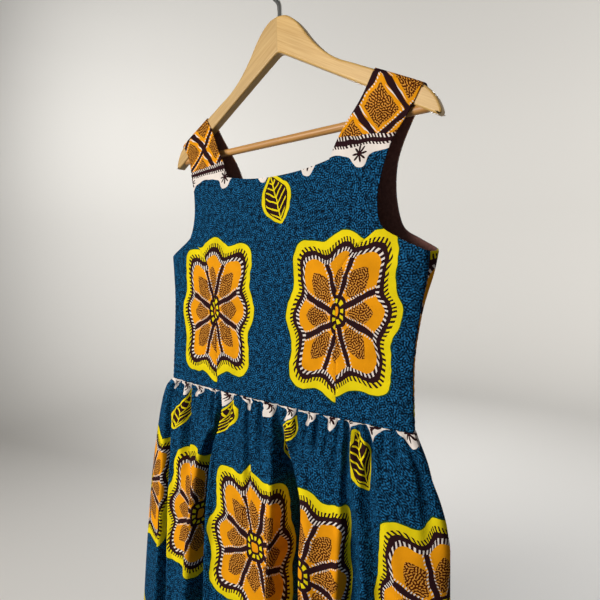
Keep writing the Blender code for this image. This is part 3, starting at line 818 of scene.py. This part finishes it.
def body_grid(wall, grid, creases, cut_from, left, right):
    """A body's points with their relief, their normals, and their flat places."""
    smooth = wall.points(grid)
    flat = wall.flat(grid) + cut_from
    if wall.is_back:  # seen from outside, the back's columns run the other way
        smooth, flat, grid = smooth[:, ::-1], flat[:, ::-1], grid[:, ::-1]
        left, right = right, left
    outward = np.array([0.0, 1.0 if wall.is_back else -1.0, 0.0])
    normals = grid_normals(smooth, outward)
    depth = sew_in(smooth, grid[..., 1], left, right)
    depth += crease_depth(smooth[..., 0], grid[..., 1], creases)
    points = smooth - depth[..., None] * normals
    return points, grid_normals(points, outward), flat


# %% [markdown]
# ## Straps
# Each strap is one with its panel. It lies on the sloping arm of the hanger, bends over the
# wood's round edge and ends in the shoulder seam on top. Below the arm it swings out to the
# bodice. Its grid starts with the points of the body's top row, so that the two join.

# %% A strap
STRAP_BLEND = 0.03  # within this above the body, the strap takes over from its top row
BEND_TURNS = np.radians(np.linspace(12, 90, 9))  # round the wood's edge


def strap_grid(wall, body, order, side, layers, seam):
    """A strap from the end of the body's top row, so ordered, up to the shoulder seam."""
    body_points, _, body_flat = (rows[-1, ::order][-BASE_COLUMNS:] for rows in body)
    sign = 1 if wall.is_back else -1
    out, bend = HANGER_THICK / 2 + layers, HANGER_EDGE + layers
    shares = np.linspace(0, 1, STRAP_ROWS)
    inner = spaced(through(STRAP_INNER), shares)
    outer = spaced(armhole_between(ARMHOLE[0][1], NECK_DROP)[::-1], shares)
    top = between(inner[-1], outer[-1], shares_of(base)[:, None])
    grid = []
    for row in patch(inner, outer, base, top)[:-1]:
        x, drop = row.T
        some = row[::8]  # the places in between are interpolated
        places = np.interp(x, some[:, 0], placed(wall, some)[:, 0])
        free = wall.points(np.stack([places, drop], 1))[:, 1]
        share = smooth_step((drop - hanger_top_drop(x) - STRAP_HUG) / STRAP_LEAVE)
        grid.append(np.stack([x, share * free + (1 - share) * sign * out, z_of(drop)], 1))
    over = [(out, bend)]
    over += [(out - bend * (1 - math.cos(t)), bend * (1 - math.sin(t))) for t in BEND_TURNS]
    over += [((out - bend + sign * seam) / 2, 0.0), (sign * seam, 0.0)]
    x = top[:, 0]
    high = z_of(hanger_top_drop(x)) + layers * ARM_STRETCH
    for y, below in over:
        grid.append(np.stack([x, np.full_like(x, sign * y), high - below * ARM_STRETCH], 1))
    grid = np.array(grid) * np.array([side, 1.0, 1.0])
    run = lengths_along(grid[:, len(x) // 2])
    fade = (1 - smooth_step(run / STRAP_BLEND))[:, None, None]
    fade[0] = 1.0
    grid += (body_points - grid[0]) * fade
    run = np.broadcast_to(run[:, None], grid.shape[:2])
    flat = np.stack([grid[..., 0] - grid[0, :, 0], run], -1) + body_flat
    if side != -sign:
        grid, flat = grid[:, ::-1], flat[:, ::-1]
    return grid, grid_normals(grid, np.array([0.0, sign, 0.0])), flat


# %% [markdown]
# ## The panels of the bodice
# The front is three panels, with princess seams that shape the bust, and the back two halves
# that meet in a seam down the middle. One tube would be simpler, but each panel is cut from
# another place of the cloth, so the print breaks at the seams. The back's dark lining shows
# through the neck and the armholes.


# %% Front panels
def make_front_centre():
    armhole = armhole_between(NECK_DROP, PRINCESS_DROP)
    armhole = spaced(armhole, np.linspace(1, 0, ARMHOLE_ROWS))
    edge = np.vstack([princess_seam(), armhole[1:]])
    left, right = placed(FRONT, edge, -1), placed(FRONT, edge, 1)
    half = np.vstack([neckline(NECK_DIP)[:-1], base])
    top = placed(FRONT, np.vstack([half[:0:-1] * (-1, 1), half]))
    shares = (top[:, 0] / top[-1, 0] + 1) / 2
    grid = patch(left, right, between(left[0], right[0], shares[:, None]), top)
    seams = PRINCESS_DROP, PRINCESS_DROP
    body = body_grid(FRONT, grid, FRONT_CREASES, (-0.0075, 0.0), *seams)
    rest = REST + CLOTH
    straps = (strap_grid(FRONT, body, side, side, rest, SHOULDER_SEAM) for side in (-1, 1))
    return make_wall("front_centre", (body, *straps), print_cotton, CLOTH)


def make_side_front(name, side, cut_from):
    princess = moved_aside(princess_seam(), GAP)
    princess[0, 1] = WAIST_DROP
    inner = placed(FRONT, princess, side)
    outer = side_seam() * (side, 1)
    armhole = placed(FRONT, armhole_between(princess[-1, 1], UNDERARM_DROP), side)
    armhole[0], armhole[-1] = inner[-1], outer[-1]
    shares = (1 - np.cos(np.linspace(0, math.pi, SIDE_COLUMNS))) / 2
    waist = between(inner[0], outer[0], shares[:, None])
    grid = patch(inner, outer, waist, spaced(armhole, shares))[:, ::side]
    seams = (PRINCESS_DROP, UNDERARM_DROP)[::side]
    body = body_grid(FRONT, grid, FRONT_CREASES, cut_from, *seams)
    return make_wall(name, (body,), print_cotton, CLOTH)


front_centre = finish_piece(make_front_centre(), "wax_print_cotton", "bodice_front_centre")
for hand, side, cut_from in (("left", -1, (-0.016, 0.006)), ("right", 1, (0.002, -0.008))):
    panel = make_side_front(f"side_front_{hand}", side, cut_from)
    finish_piece(panel, "wax_print_cotton", f"bodice_side_front_{hand}")
print("front centre faces:", len(front_centre.data.polygons))


# %% Back panels and their lining
def back_cloth(side, cut_from):
    """Half the back with its strap, which both the panel and its lining are made from."""
    armhole = armhole_between(NECK_DROP, UNDERARM_DROP)
    down = (armhole[:, 1] - NECK_DROP) / (UNDERARM_DROP - NECK_DROP)
    armhole[:, 0] += BACK_FULLER * np.sin(math.pi * down**1.6)
    armhole = placed(BACK, armhole, side)
    armhole[-1, 0] = side * SIDE_PLACE
    upper = spaced(armhole, np.linspace(1, 0, ARMHOLE_ROWS))
    outer = np.vstack([side_seam() * (side, 1), upper[1:]])
    top = np.vstack([neckline(BACK_NECK_DIP)[:-1], base])
    top[0, 0] = GAP / 2
    top = placed(BACK, top, side)
    drops = WAIST_DROP + shares_of(outer) * (top[0, 1] - WAIST_DROP)
    inner = np.stack([np.full(len(drops), top[0, 0]), drops], 1)
    shares = (top[:, 0] - top[0, 0]) / (top[-1, 0] - top[0, 0])
    waist = between(inner[0], outer[0], shares[:, None])
    grid = patch(inner, outer, waist, top)[:, ::side]
    seams = (NECK_DROP, UNDERARM_DROP)[::side]
    body = body_grid(BACK, grid, BACK_CREASES, cut_from, *seams)
    layers = REST + LINING + GAP + CLOTH
    return body, strap_grid(BACK, body, -side, side, layers, SHOULDER_SEAM + GAP)


backs, linings = [], []
for hand, side, cut_from in (("left", -1, (0.052, 0.0)), ("right", 1, (-0.063, 0.012))):
    cloth = back_cloth(side, cut_from)
    panel = make_wall(f"back_{hand}", cloth, print_cotton, CLOTH)
    backs.append(finish_piece(panel, "wax_print_cotton", f"bodice_back_{hand}"))
    panel = make_wall(f"back_lining_{hand}", cloth, lining_cotton, LINING, CLOTH + GAP)
    linings.append(finish_piece(panel, "lining_cotton", f"lining_back_{hand}"))
print("faces of each back piece:", [len(panel.data.polygons) for panel in (*backs, *linings)])

# %% [markdown]
# ## The skirt
# Each skirt panel is a straight piece of cloth, whose top edge is drawn up on a thread to
# the width of the waist. Just under the seam it stands in narrow gathers with sharp valleys
# and round ridges, which run together into a few deep folds lower down. A cloth simulation
# could hang it, but it wouldn't put a fold where we want it. So we draw each level ring with
# its gathers and folds, and then space its points evenly along its length, because the
# threads of the cloth don't crowd: the print runs down into a valley and comes up again on
# its other side.

# %% Sections, folds and gathers of the skirt
SKIRT_LENGTH, SKIRT_FLAT, SKIRT_CLOTH = 0.620, 0.950, 0.0011
SKIRT = (
    (0.526, 0.217, -0.034, -0.0455, -0.0010, 2.2, -0.010),
    (0.545, 0.230, -0.034, -0.0530, 0.0080, 2.2, -0.016),
    (0.580, 0.245, -0.032, -0.0620, 0.0170, 2.3, -0.017),
    (0.640, 0.262, -0.030, -0.0700, 0.0240, 2.4, -0.017),
    (0.720, 0.273, -0.029, -0.0780, 0.0300, 2.4, -0.025),
    (0.860, 0.289, -0.029, -0.0880, 0.0360, 2.4, -0.033),
    (1.000, 0.308, -0.029, -0.0960, 0.0420, 2.4, -0.035),
    (1.146, 0.328, -0.030, -0.1030, 0.0470, 2.4, -0.035),
)
# Folds and gathers are in millimetres. A valley is a line of stations down the cloth: how far
# below the waist, x, half width on its left and on its right, and depth.
FRONT_VALLEYS = (
    ((0, -198, 6, 5, 1.5), (25, -221, 8, 5, 7), (100, -220, 9, 12, 19), (200, -221, 9, 12, 25),
     (350, -230, 11, 17, 26), (620, -255, 20, 30, 25)),
    ((0, -172, 5, 5, 3), (20, -170, 7, 7, 10), (60, -167, 10, 10, 14), (110, -163, 12, 12, 10),
     (170, -159, 14, 14, 0)),
    ((0, -113, 5, 5, 3), (15, -111, 5, 5, 7), (60, -103, 6, 6, 5), (90, -101, 8, 8, 0)),
    ((0, -101, 5, 4, 3), (20, -92, 6, 4, 8), (50, -95, 6, 6, 14), (100, -112, 11, 11, 26),
     (200, -119, 16, 13, 43), (350, -128, 20, 18, 43), (620, -150, 22, 32, 36)),
    ((0, -36, 4, 4, 2), (30, -34, 5, 5, 6.5), (90, -25, 6, 6, 6), (150, -22, 8, 8, 3),
     (240, -20, 12, 12, 0)),
    ((0, -14, 4, 4, 2), (13, -13, 5, 5, 6), (50, -6, 6, 6, 6), (90, -3, 8, 8, 0)),
    ((0, 12, 4, 5, 3), (20, 18, 6, 8, 10), (70, 31, 9, 22, 25), (120, 38, 11, 30, 41),
     (200, 38, 10, 30, 54), (350, 38, 13, 35, 52), (620, 42, 24, 42, 42)),
    ((0, 47, 4, 4, 3), (15, 50, 5, 5, 7), (45, 56, 6, 6, 5), (80, 63, 8, 8, 0)),
    ((0, 80, 4, 4, 2), (10, 82, 5, 5, 6), (35, 83, 5, 5, 7), (55, 85, 7, 7, 0)),
    ((0, 124, 4, 4, 3), (10, 126, 4, 4, 7), (45, 128, 4, 7, 8), (85, 131, 6, 10, 8),
     (120, 137, 9, 13, 12), (200, 137, 10, 17, 20), (350, 132, 12, 22, 24),
     (620, 132, 24, 30, 24)),
    ((0, 150, 4, 4, 2.5), (15, 155, 4, 5, 7), (30, 159, 5, 5, 8), (60, 159, 8, 8, 8),
     (100, 163, 11, 13, 8), (150, 171, 13, 16, 7), (250, 182, 17, 20, 10),
     (620, 205, 30, 32, 18)),
    ((0, 186, 4, 4, 2), (20, 190, 6, 6, 3), (60, 197, 8, 8, 0)),
    ((0, 196, 3, 3, 1), (20, 206, 4, 5, 3), (50, 219, 6, 7, 5), (100, 230, 9, 9, 4),
     (170, 236, 12, 12, 0)),
)
BACK_VALLEYS = tuple(
    ((0, 0.72 * x, 5, 5, 3), (30, 0.76 * x, 7, 7, 7), (100, 0.82 * x, 14, 12, 0.5 * depth),
     (200, 0.88 * x, 20, 18, 0.8 * depth), (620, x, 30, 28, depth))
    for x, depth in (
        (292, 16), (215, 22), (128, 18), (24, 28), (-82, 18), (-178, 25), (-268, 18),
    )
)
# A gather fades soon: x, a half width at which a fifth of its depth is left, depth, and how
# far below the waist it ends.
FRONT_GATHERS = (
    (-214, 6, 5.0, 60), (-203, 6, 6.0, 90), (-190, 6, 5.5, 60), (-153, 6, 6.5, 80),
    (-137, 6, 6.5, 90), (-124, 5, 5.0, 60), (-72, 6, 7.5, 80), (-54, 6, 7.0, 120),
    (31, 5, 6.5, 60), (66, 6, 7.5, 90), (98, 5, 6.5, 70), (111, 6, 7.5, 110),
    (140, 5, 6.5, 80), (172, 6, 5.5, 70),
)
BACK_GATHERS = tuple(
    (-206 + 17.5 * k + 5 * math.sin(2.9 * k), 5.5 + math.sin(2.1 * k),
     3.6 + 1.3 * math.sin(2.7 * k), 55 + 22 * math.sin(1.9 * k))
    for k in range(24)
)
# A valley has a rounded floor and steep walls, and the cloth puffs up beside it.
FLOOR_ROUND, FLOOR_LEVEL, WALL_REACH, WALL_POWER, FLOOR_POWER = 0.03, 0.173, 0.98, 1.55, 1.3
PUFF, PUFF_AT, PUFF_WIDTH = 0.17, 1.3, 0.45
SHUT_FADE, VALLEY_SHUT_WIDTH, GATHER_SHUT_WIDTH = 40, 4, 3  # cloth shut away behind folds
GATHER_RISE, FLARE = 14, 0.4 / 1000  # where gathers are deepest, and how they spread
RIPPLE, RIPPLE_FADE, RIPPLE_PITCH, RIPPLE_DRIFT = 0.5, 9, 7.1, 21  # the seam's stitches


def heap(off, width):
    """A bump of this width whose area is one."""
    return np.exp(-((off / width) ** 2)) / (width * math.sqrt(math.pi))


def valley_depth(x, below, valleys):
    """The depth at each x, and the cloth that is shut away there per step of x."""
    depth, shut = np.zeros_like(x), np.zeros_like(x)
    shut_share = 1.5 + 9 * math.exp(-below / SHUT_FADE)
    for stations in valleys:
        if below >= stations[-1][0] and stations[-1][-1] == 0:
            continue
        centre, left, right, deepest = table_at(through(stations, fine=8), below)
        deepest = max(deepest, 0.0)
        off = x - centre
        away = np.abs(off) / np.where(off < 0, left, right)
        away = (np.sqrt(away**2 + FLOOR_ROUND) - FLOOR_LEVEL) / WALL_REACH
        valley = (1 - np.clip(away, 0, 1) ** WALL_POWER) ** FLOOR_POWER
        depth += deepest * (valley - PUFF * np.exp(-(((away - PUFF_AT) / PUFF_WIDTH) ** 2)))
        shut += shut_share * deepest * heap(off, VALLEY_SHUT_WIDTH)
    return depth, shut


def gather_depth(x, below, gathers):
    """The same two for gathers, whose valleys are sharp, with the ripple of the stitches."""
    depth, shut = np.zeros_like(x), np.zeros_like(x)
    for centre, half_width, deepest, ends in gathers:
        left_over = max(0.0, 1 - (below / ends) ** 2) ** 1.3
        grown = (0.25 + 0.75 * smooth_step(below / GATHER_RISE)) * left_over
        off = x - centre * (1 + FLARE * below)
        round_off = np.sqrt(off**2 + 0.8) - 0.9  # a floor rounded within a millimetre
        depth += deepest * grown * np.exp(-round_off / (0.62 * half_width))
        hidden = 4 * math.exp(-below / SHUT_FADE) * deepest * left_over
        shut += hidden * heap(off, GATHER_SHUT_WIDTH)
    ripple = RIPPLE * math.exp(-((below / RIPPLE_FADE) ** 2))
    drift = 3 * np.sin(x / RIPPLE_DRIFT)
    return depth + ripple * np.sin(math.tau * x / RIPPLE_PITCH + drift), shut


# %% Rings of the skirt
SKIRT_ROWS, SKIRT_COLUMNS, RING_FINE = 118, 372, 1500
SKIRT_PROUD = 0.001  # the skirt stands this far outside its smooth sections
BORDER_OFF, BORDER_SLANT = -0.0014, -0.0018  # the top edge isn't quite on the border's line


def skirt_ring(sizes, below):
    """The front's and the back's share of one ring, one point for each thread."""
    half, side, front, back, square, shift = table_at(sizes, WAIST_DROP + below)
    share = np.linspace(-1, 1, RING_FINE + 1)[:-1]
    base, depth, shut = [], [], []
    for middle, turn, valleys, gathers in (
        (front, 1, FRONT_VALLEYS, FRONT_GATHERS), (back, -1, BACK_VALLEYS, BACK_GATHERS)
    ):
        x, y = spaced(quarter(half, side, middle, square, fine=400), np.abs(share)).T
        x = turn * np.copysign(x, share) + shift
        base.append(np.stack([x, y], 1))
        valley, valley_shut = valley_depth(1000 * x, 1000 * below, valleys)
        gather, gather_shut = gather_depth(1000 * x, 1000 * below, gathers)
        depth.append((valley + gather) / 1000 - SKIRT_PROUD)
        shut.append(valley_shut + gather_shut)
    base, depth, shut = np.vstack(base), np.concatenate(depth), np.concatenate(shut)
    outwards = sideways(np.roll(base, -1, axis=0) - np.roll(base, 1, axis=0))
    ring = base - outwards * depth[:, None]
    ring, base, shut = (np.concatenate([row, row[:1]]) for row in (ring, base, shut))
    hidden = shut[1:] * np.abs(np.diff(base[:, 0]))
    panels = []
    for part in (slice(0, RING_FINE + 1), slice(RING_FINE, None)):
        steps = np.linalg.norm(np.diff(ring[part], axis=0), axis=1) + hidden[part][:RING_FINE]
        cloth = np.concatenate([[0.0], np.cumsum(steps)])
        threads = np.linspace(0, cloth[-1], SKIRT_COLUMNS)
        columns = [np.interp(threads, cloth, column) for column in ring[part].T]
        panels.append(np.stack(columns, 1))
    return panels


BELOW = (SKIRT_LENGTH * np.linspace(0, 1, SKIRT_ROWS) ** 1.5)[::-1]  # from the hem up
rings = [skirt_ring(through(SKIRT), below) for below in BELOW]


def make_skirt_panel(name, which, cut_from):
    """The front (0) or the back (1) of all rings; cut_from is its middle on the flat cloth."""
    level = np.array([ring[which] for ring in rings])
    heights = z_of(WAIST_DROP + GAP + BELOW)[:, None, None]
    grid = np.concatenate([level, np.broadcast_to(heights, (*level.shape[:2], 1))], 2)
    for end, inner in ((0, 1), (-1, -2)):  # half the seam's gap at each side
        step = grid[:, inner] - grid[:, end]
        grid[:, end] += step * (GAP / 2 / np.linalg.norm(step, axis=1, keepdims=True))
    share = np.linspace(-0.5, 0.5, SKIRT_COLUMNS)[None]
    across = share * SKIRT_FLAT + cut_from
    up = BORDER_OFF + BORDER_SLANT * share - BELOW[:, None]
    flat = np.stack(np.broadcast_arrays(across, up), -1)
    normals = grid_normals(grid, np.array([0.0, -1.0 + 2 * which, 0.0]))
    piece = make_wall(name + "_cloth", ((grid, normals, flat),), print_cotton, SKIRT_CLOTH)
    return finish_piece(piece, "wax_print_cotton", name)


skirt_front = make_skirt_panel("skirt_front", 0, cut_from=-0.112)
skirt_back = make_skirt_panel("skirt_back", 1, cut_from=0.07)
print("faces of a skirt panel:", len(skirt_front.data.polygons))

# %% [markdown]
# ## The hanger
# The body is two pieces of maple that meet in the middle, so the grain falls with each arm,
# and its edges are rounded over on a router. It could be cut from a block with booleans, but
# quads between its two edges take a bevel more cleanly. A turned bar is pushed into both
# arms, and a bent, chromed rod is set in the crown.

# %% The wooden body
HANGER_TIP = ((0.2247, 0.1688), (0.2238, 0.1718), (0.2208, 0.1726))
CROTCH_DROP, ARM_SLOPE, CROTCH_ROUND, ARM_END = 0.047, 0.578, 0.003, 0.2150
HANGER_COLUMNS, HANGER_ROWS = 110, 4
HALF_APART = 0.4  # on the grain's map, so that the two arms show different wood


def hanger_edges():
    """Upper and lower edge of the right arm, from the middle out, and its tip."""
    upper = through(HANGER_TOP + HANGER_TIP, fine=8)
    x = ARM_END * np.linspace(0, 1, 90) ** 1.4
    drop = CROTCH_DROP + ARM_SLOPE * (np.hypot(x, CROTCH_ROUND) - CROTCH_ROUND)
    lower = np.vstack([np.stack([x, drop], 1), upper[-1]])
    shares = np.linspace(0, 1, HANGER_COLUMNS)
    return spaced(upper, shares)[:-1], spaced(lower, shares)[:-1], upper[-1]


def map_grain(piece, slope):
    """A UV map whose X runs along the wood, falling outwards by the slope on both arms."""
    mesh = piece.data
    layer = mesh.uv_layers.new(name="grain_run")
    for loop, at in zip(mesh.loops, layer.data):
        x, _, z = mesh.vertices[loop.vertex_index].co
        along = (abs(x) - slope * z) / math.hypot(1, slope)
        aside = (z + slope * abs(x)) / math.hypot(1, slope)
        at.uv = (math.copysign(along + HALF_APART, x), aside)


def settled(bm, name):
    """The built mesh under its name, with all normals outwards."""
    bmesh.ops.recalc_face_normals(bm, faces=bm.faces)
    mesh = bpy.data.meshes.new(name)
    bm.to_mesh(mesh)
    bm.free()
    return mesh


def make_hanger():
    """Two faces of quads between the edges, closed by a rim, which is then rounded over."""
    upper, lower, tip = hanger_edges()
    rows = between(upper, lower, np.linspace(0, 1, HANGER_ROWS)[:, None, None])
    bm = bmesh.new()
    outlines = []
    for y in (-HANGER_THICK / 2, HANGER_THICK / 2):
        grid = []
        for row in rows:
            right = [bm.verts.new((x, y, z_of(drop))) for x, drop in row]
            left = [bm.verts.new((-x, y, z_of(drop))) for x, drop in row[:0:-1]]
            grid.append(left + right)
        tips = [bm.verts.new((side * tip[0], y, z_of(tip[1]))) for side in (-1, 1)]
        for high, low in zip(grid, grid[1:]):
            for corners in zip(high, low, low[1:], high[1:]):
                bm.faces.new(corners)
            bm.faces.new((tips[0], low[0], high[0]))
            bm.faces.new((high[-1], low[-1], tips[1]))
        outlines.append([tips[0], *grid[0], tips[1], *grid[-1][::-1]])
    front, back = outlines
    for corners in zip(front, front[1:] + front[:1], back[1:] + back[:1], back):
        bm.faces.new(corners)
    piece = add_mesh(settled(bm, "hanger_wood"), maple, sharp=50)
    edge = piece.modifiers.new("rounded_edges", "BEVEL")
    edge.width, edge.segments, edge.use_clamp_overlap = HANGER_EDGE, 5, False
    edge.limit_method, edge.angle_limit = "ANGLE", math.radians(60)
    rounded = piece.evaluated_get(bpy.context.evaluated_depsgraph_get())
    rounded = bpy.data.meshes.new_from_object(rounded)
    piece.modifiers.clear()
    piece.data = rounded
    map_grain(piece, ARM_SLOPE)
    return piece


hanger_wood = finish_piece(make_hanger(), "varnished_pale_wood", "hanger_body")
print("hanger faces:", len(hanger_wood.data.polygons))

# %% The bar and the hook
BAR_DROP, BAR_RADIUS, BAR_HALF, BAR_SIDES = 0.1614, 0.00525, 0.2125, 48
HOOK_RADIUS, HOOK_BEND, HOOK_SOCKET, HOOK_SIDES = 0.00325, 0.020, 0.016, 32
HOOK_LOW, HOOK_END = math.radians(215), math.radians(-28)  # the ends of the round bend
RIM_SHARE = 0.72  # of the radius, at the rounded ends of a rod


def tube(name, path, radius, material, sides):
    """A round rod along a path in the plane of the hanger, with rounded rims at its ends."""
    path = np.array(path)
    along = unit(np.gradient(path, axis=0))
    across = np.stack([-along[:, 2], np.zeros(len(path)), along[:, 0]], 1)
    turns = np.linspace(0, math.tau, sides, endpoint=False)[None, :, None]
    radii = np.full((len(path), 1, 1), radius)
    radii[[0, -1]] *= RIM_SHARE
    forward = np.array([0.0, 1.0, 0.0])
    rings = path[:, None] + radii * (np.cos(turns) * across[:, None] + np.sin(turns) * forward)
    last = (len(path) - 1) * sides
    faces = [
        (low + k, low + (k + 1) % sides, low + sides + (k + 1) % sides, low + sides + k)
        for low in range(0, last, sides)
        for k in range(sides)
    ]
    faces += [tuple(range(sides))[::-1], tuple(range(last, last + sides))]
    mesh = bpy.data.meshes.new(name)
    mesh.from_pydata(rings.reshape(-1, 3).tolist(), [], faces)
    return add_mesh(mesh, material, sharp=50)


def eased(start, end, rim):
    """Shares of a rod with two close points at each end, for its rounded rims."""
    middle = np.linspace(start + 2 * rim, end - 2 * rim, 40)
    return np.concatenate([[start, start + rim], middle, [end - rim, end]])


def hook_path():
    """Up out of the crown, round to the left, over and down on the right."""
    radius = HOOK_BEND + HOOK_RADIUS
    join = (radius * math.cos(HOOK_LOW), -HOOK_BEND + radius * math.sin(HOOK_LOW))
    neck = ((0.0, z_of(HOOK_SOCKET)), (0.0, z_of(0.0)), (0.0, z_of(-0.010)),
            (-0.0012, z_of(-0.018)), (-0.0075, z_of(-0.0265)), join)
    turn = np.linspace(HOOK_LOW, HOOK_END, 70)
    bend = np.stack([radius * np.cos(turn), -HOOK_BEND + radius * np.sin(turn)], 1)
    path = np.vstack([through(neck)[:-1], bend])
    path = spaced(path, eased(0.0, 1.0, 0.006)[1:-1])
    return np.stack([path[:, 0], 0 * path[:, 0], path[:, 1]], 1)


x = eased(-BAR_HALF, BAR_HALF, 0.0008)
path = np.stack([x, 0 * x, 0 * x + z_of(BAR_DROP)], 1)
bar = tube("trouser_bar_turned", path, BAR_RADIUS, bar_wood, BAR_SIDES)
map_grain(bar, 0.0)
finish_piece(bar, "turned_bar_wood", "trouser_bar")
hook = tube("hook_rod", hook_path(), HOOK_RADIUS, chrome, HOOK_SIDES)
finish_piece(hook, "chromed_steel", "hook")
print("bar and hook faces:", len(bar.data.polygons), len(hook.data.polygons))

# %% [markdown]
# ## The skirt's cut
# Each skirt panel is a rectangle of cloth, and we print how large it was cut.


for panel in (skirt_front, skirt_back):
    print(f"{panel.name}: cut {SKIRT_FLAT:.3f} x {SKIRT_LENGTH:.3f} m")

# %% [markdown]
# ## The studio
# A plain pale sweep stands far around the dress and curves up from the floor, so every view
# has the same quiet ground. A large soft light hangs in front of the dress, somewhat to the
# left and above the hook, and a weaker one lights the back. Two more are for the sweep,
# which itself throws no light back and no shadow.

# %% Floor, lights and sky
FLOOR, SWEEP_RADIUS, SWEEP_ROUND, SWEEP_TOP, SWEEP_DOME = -1.27, 3.4, 1.2, 0.9, 2.6
MIDDLE = (0.0, -0.03, -0.45)
# name, place, what it points at, size, watts, colour, spread in degrees
LIGHTS = (
    ("window", (-1.3, -2.8, 0.20), MIDDLE, 1.3, 45.0, "#fffaf2", 120.0),
    ("back", (-1.0, 2.8, 0.60), MIDDLE, 1.2, 14.0, "#f6f8fd", 80.0),
    ("sweep_left", (-1.7, 0.7, 0.6), (-2.2, 3.0, 0.2), 1.8, 31.0, "#fdfcfa", 180.0),
    ("sweep_right", (1.7, 0.7, 0.6), (1.2, 3.2, -0.3), 1.8, 52.0, "#fdfcfa", 180.0),
)


def make_sweep():
    """Matt paper: a floor that rounds up into a wall and a dome."""
    turn = np.linspace(0, math.pi / 2, 13)
    out = SWEEP_RADIUS - SWEEP_ROUND + SWEEP_ROUND * np.sin(turn)
    up = FLOOR + SWEEP_ROUND * (1 - np.cos(turn))
    dome = SWEEP_RADIUS * np.cos(turn[:-1]), SWEEP_TOP + SWEEP_DOME * np.sin(turn[:-1])
    top = SWEEP_TOP + SWEEP_DOME
    profile = ((0, FLOOR), (1, FLOOR), *zip(out, up), *zip(*dome), (0, top))
    bm = bmesh.new()
    line = [bm.verts.new((radius, 0.0, z)) for radius, z in profile]
    edges = [bm.edges.new(pair) for pair in zip(line, line[1:])]
    bmesh.ops.spin(bm, geom=line + edges, axis=(0, 0, 1), cent=(0, 0, 0), angle=math.tau,
                   steps=72, use_duplicate=False)
    bmesh.ops.remove_doubles(bm, verts=bm.verts, dist=1e-5)
    paper, _, _ = new_material("matt_pale_paper", base_color="#e6e4e0", roughness=0.9)
    sweep = add_mesh(settled(bm, "sweep"), paper)
    sweep.visible_diffuse = sweep.visible_shadow = False
    sweep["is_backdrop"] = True


def add_soft_light(name, at, towards, size, watts, colour, spread):
    light = bpy.data.lights.new(name, "AREA")
    light.shape, light.size, light.size_y = "RECTANGLE", size, size
    light.energy, light.color = watts, linear(colour)[:3]
    light.spread = math.radians(spread)
    lamp = add_object(name, light)
    lamp.visible_camera = False
    away = np.array(at) - np.array(towards)
    turn = math.atan2(away[0], -away[1])
    tip = math.atan2(math.hypot(away[0], away[1]), away[2])
    lamp.matrix_world = (
        Matrix.Translation(at) @ Matrix.Rotation(turn, 4, "Z") @ Matrix.Rotation(tip, 4, "X")
    )


def make_sky(colour, strength):
    world = bpy.data.worlds.new("pale_sky")
    world.use_nodes = True
    background = world.node_tree.nodes["Background"]
    background.inputs["Color"].default_value = linear(colour)
    background.inputs["Strength"].default_value = strength
    bpy.context.scene.world = world


make_sweep()
make_sky("#eceae6", 0.16)
for light in LIGHTS:
    add_soft_light(*light)
print("lights:", ", ".join(f"{name} {watts:.0f} W" for name, _, _, _, watts, _, _ in LIGHTS))

# %% [markdown]
# ## The box of the finished pieces
# The finished pieces have to fill the box of the imported model, printed at the start, so
# we print theirs too.

# %% Print the box of the finished pieces
boxes = {"cad": cad_box, "visual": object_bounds()}
print_box("box of the finished pieces:", boxes["visual"])
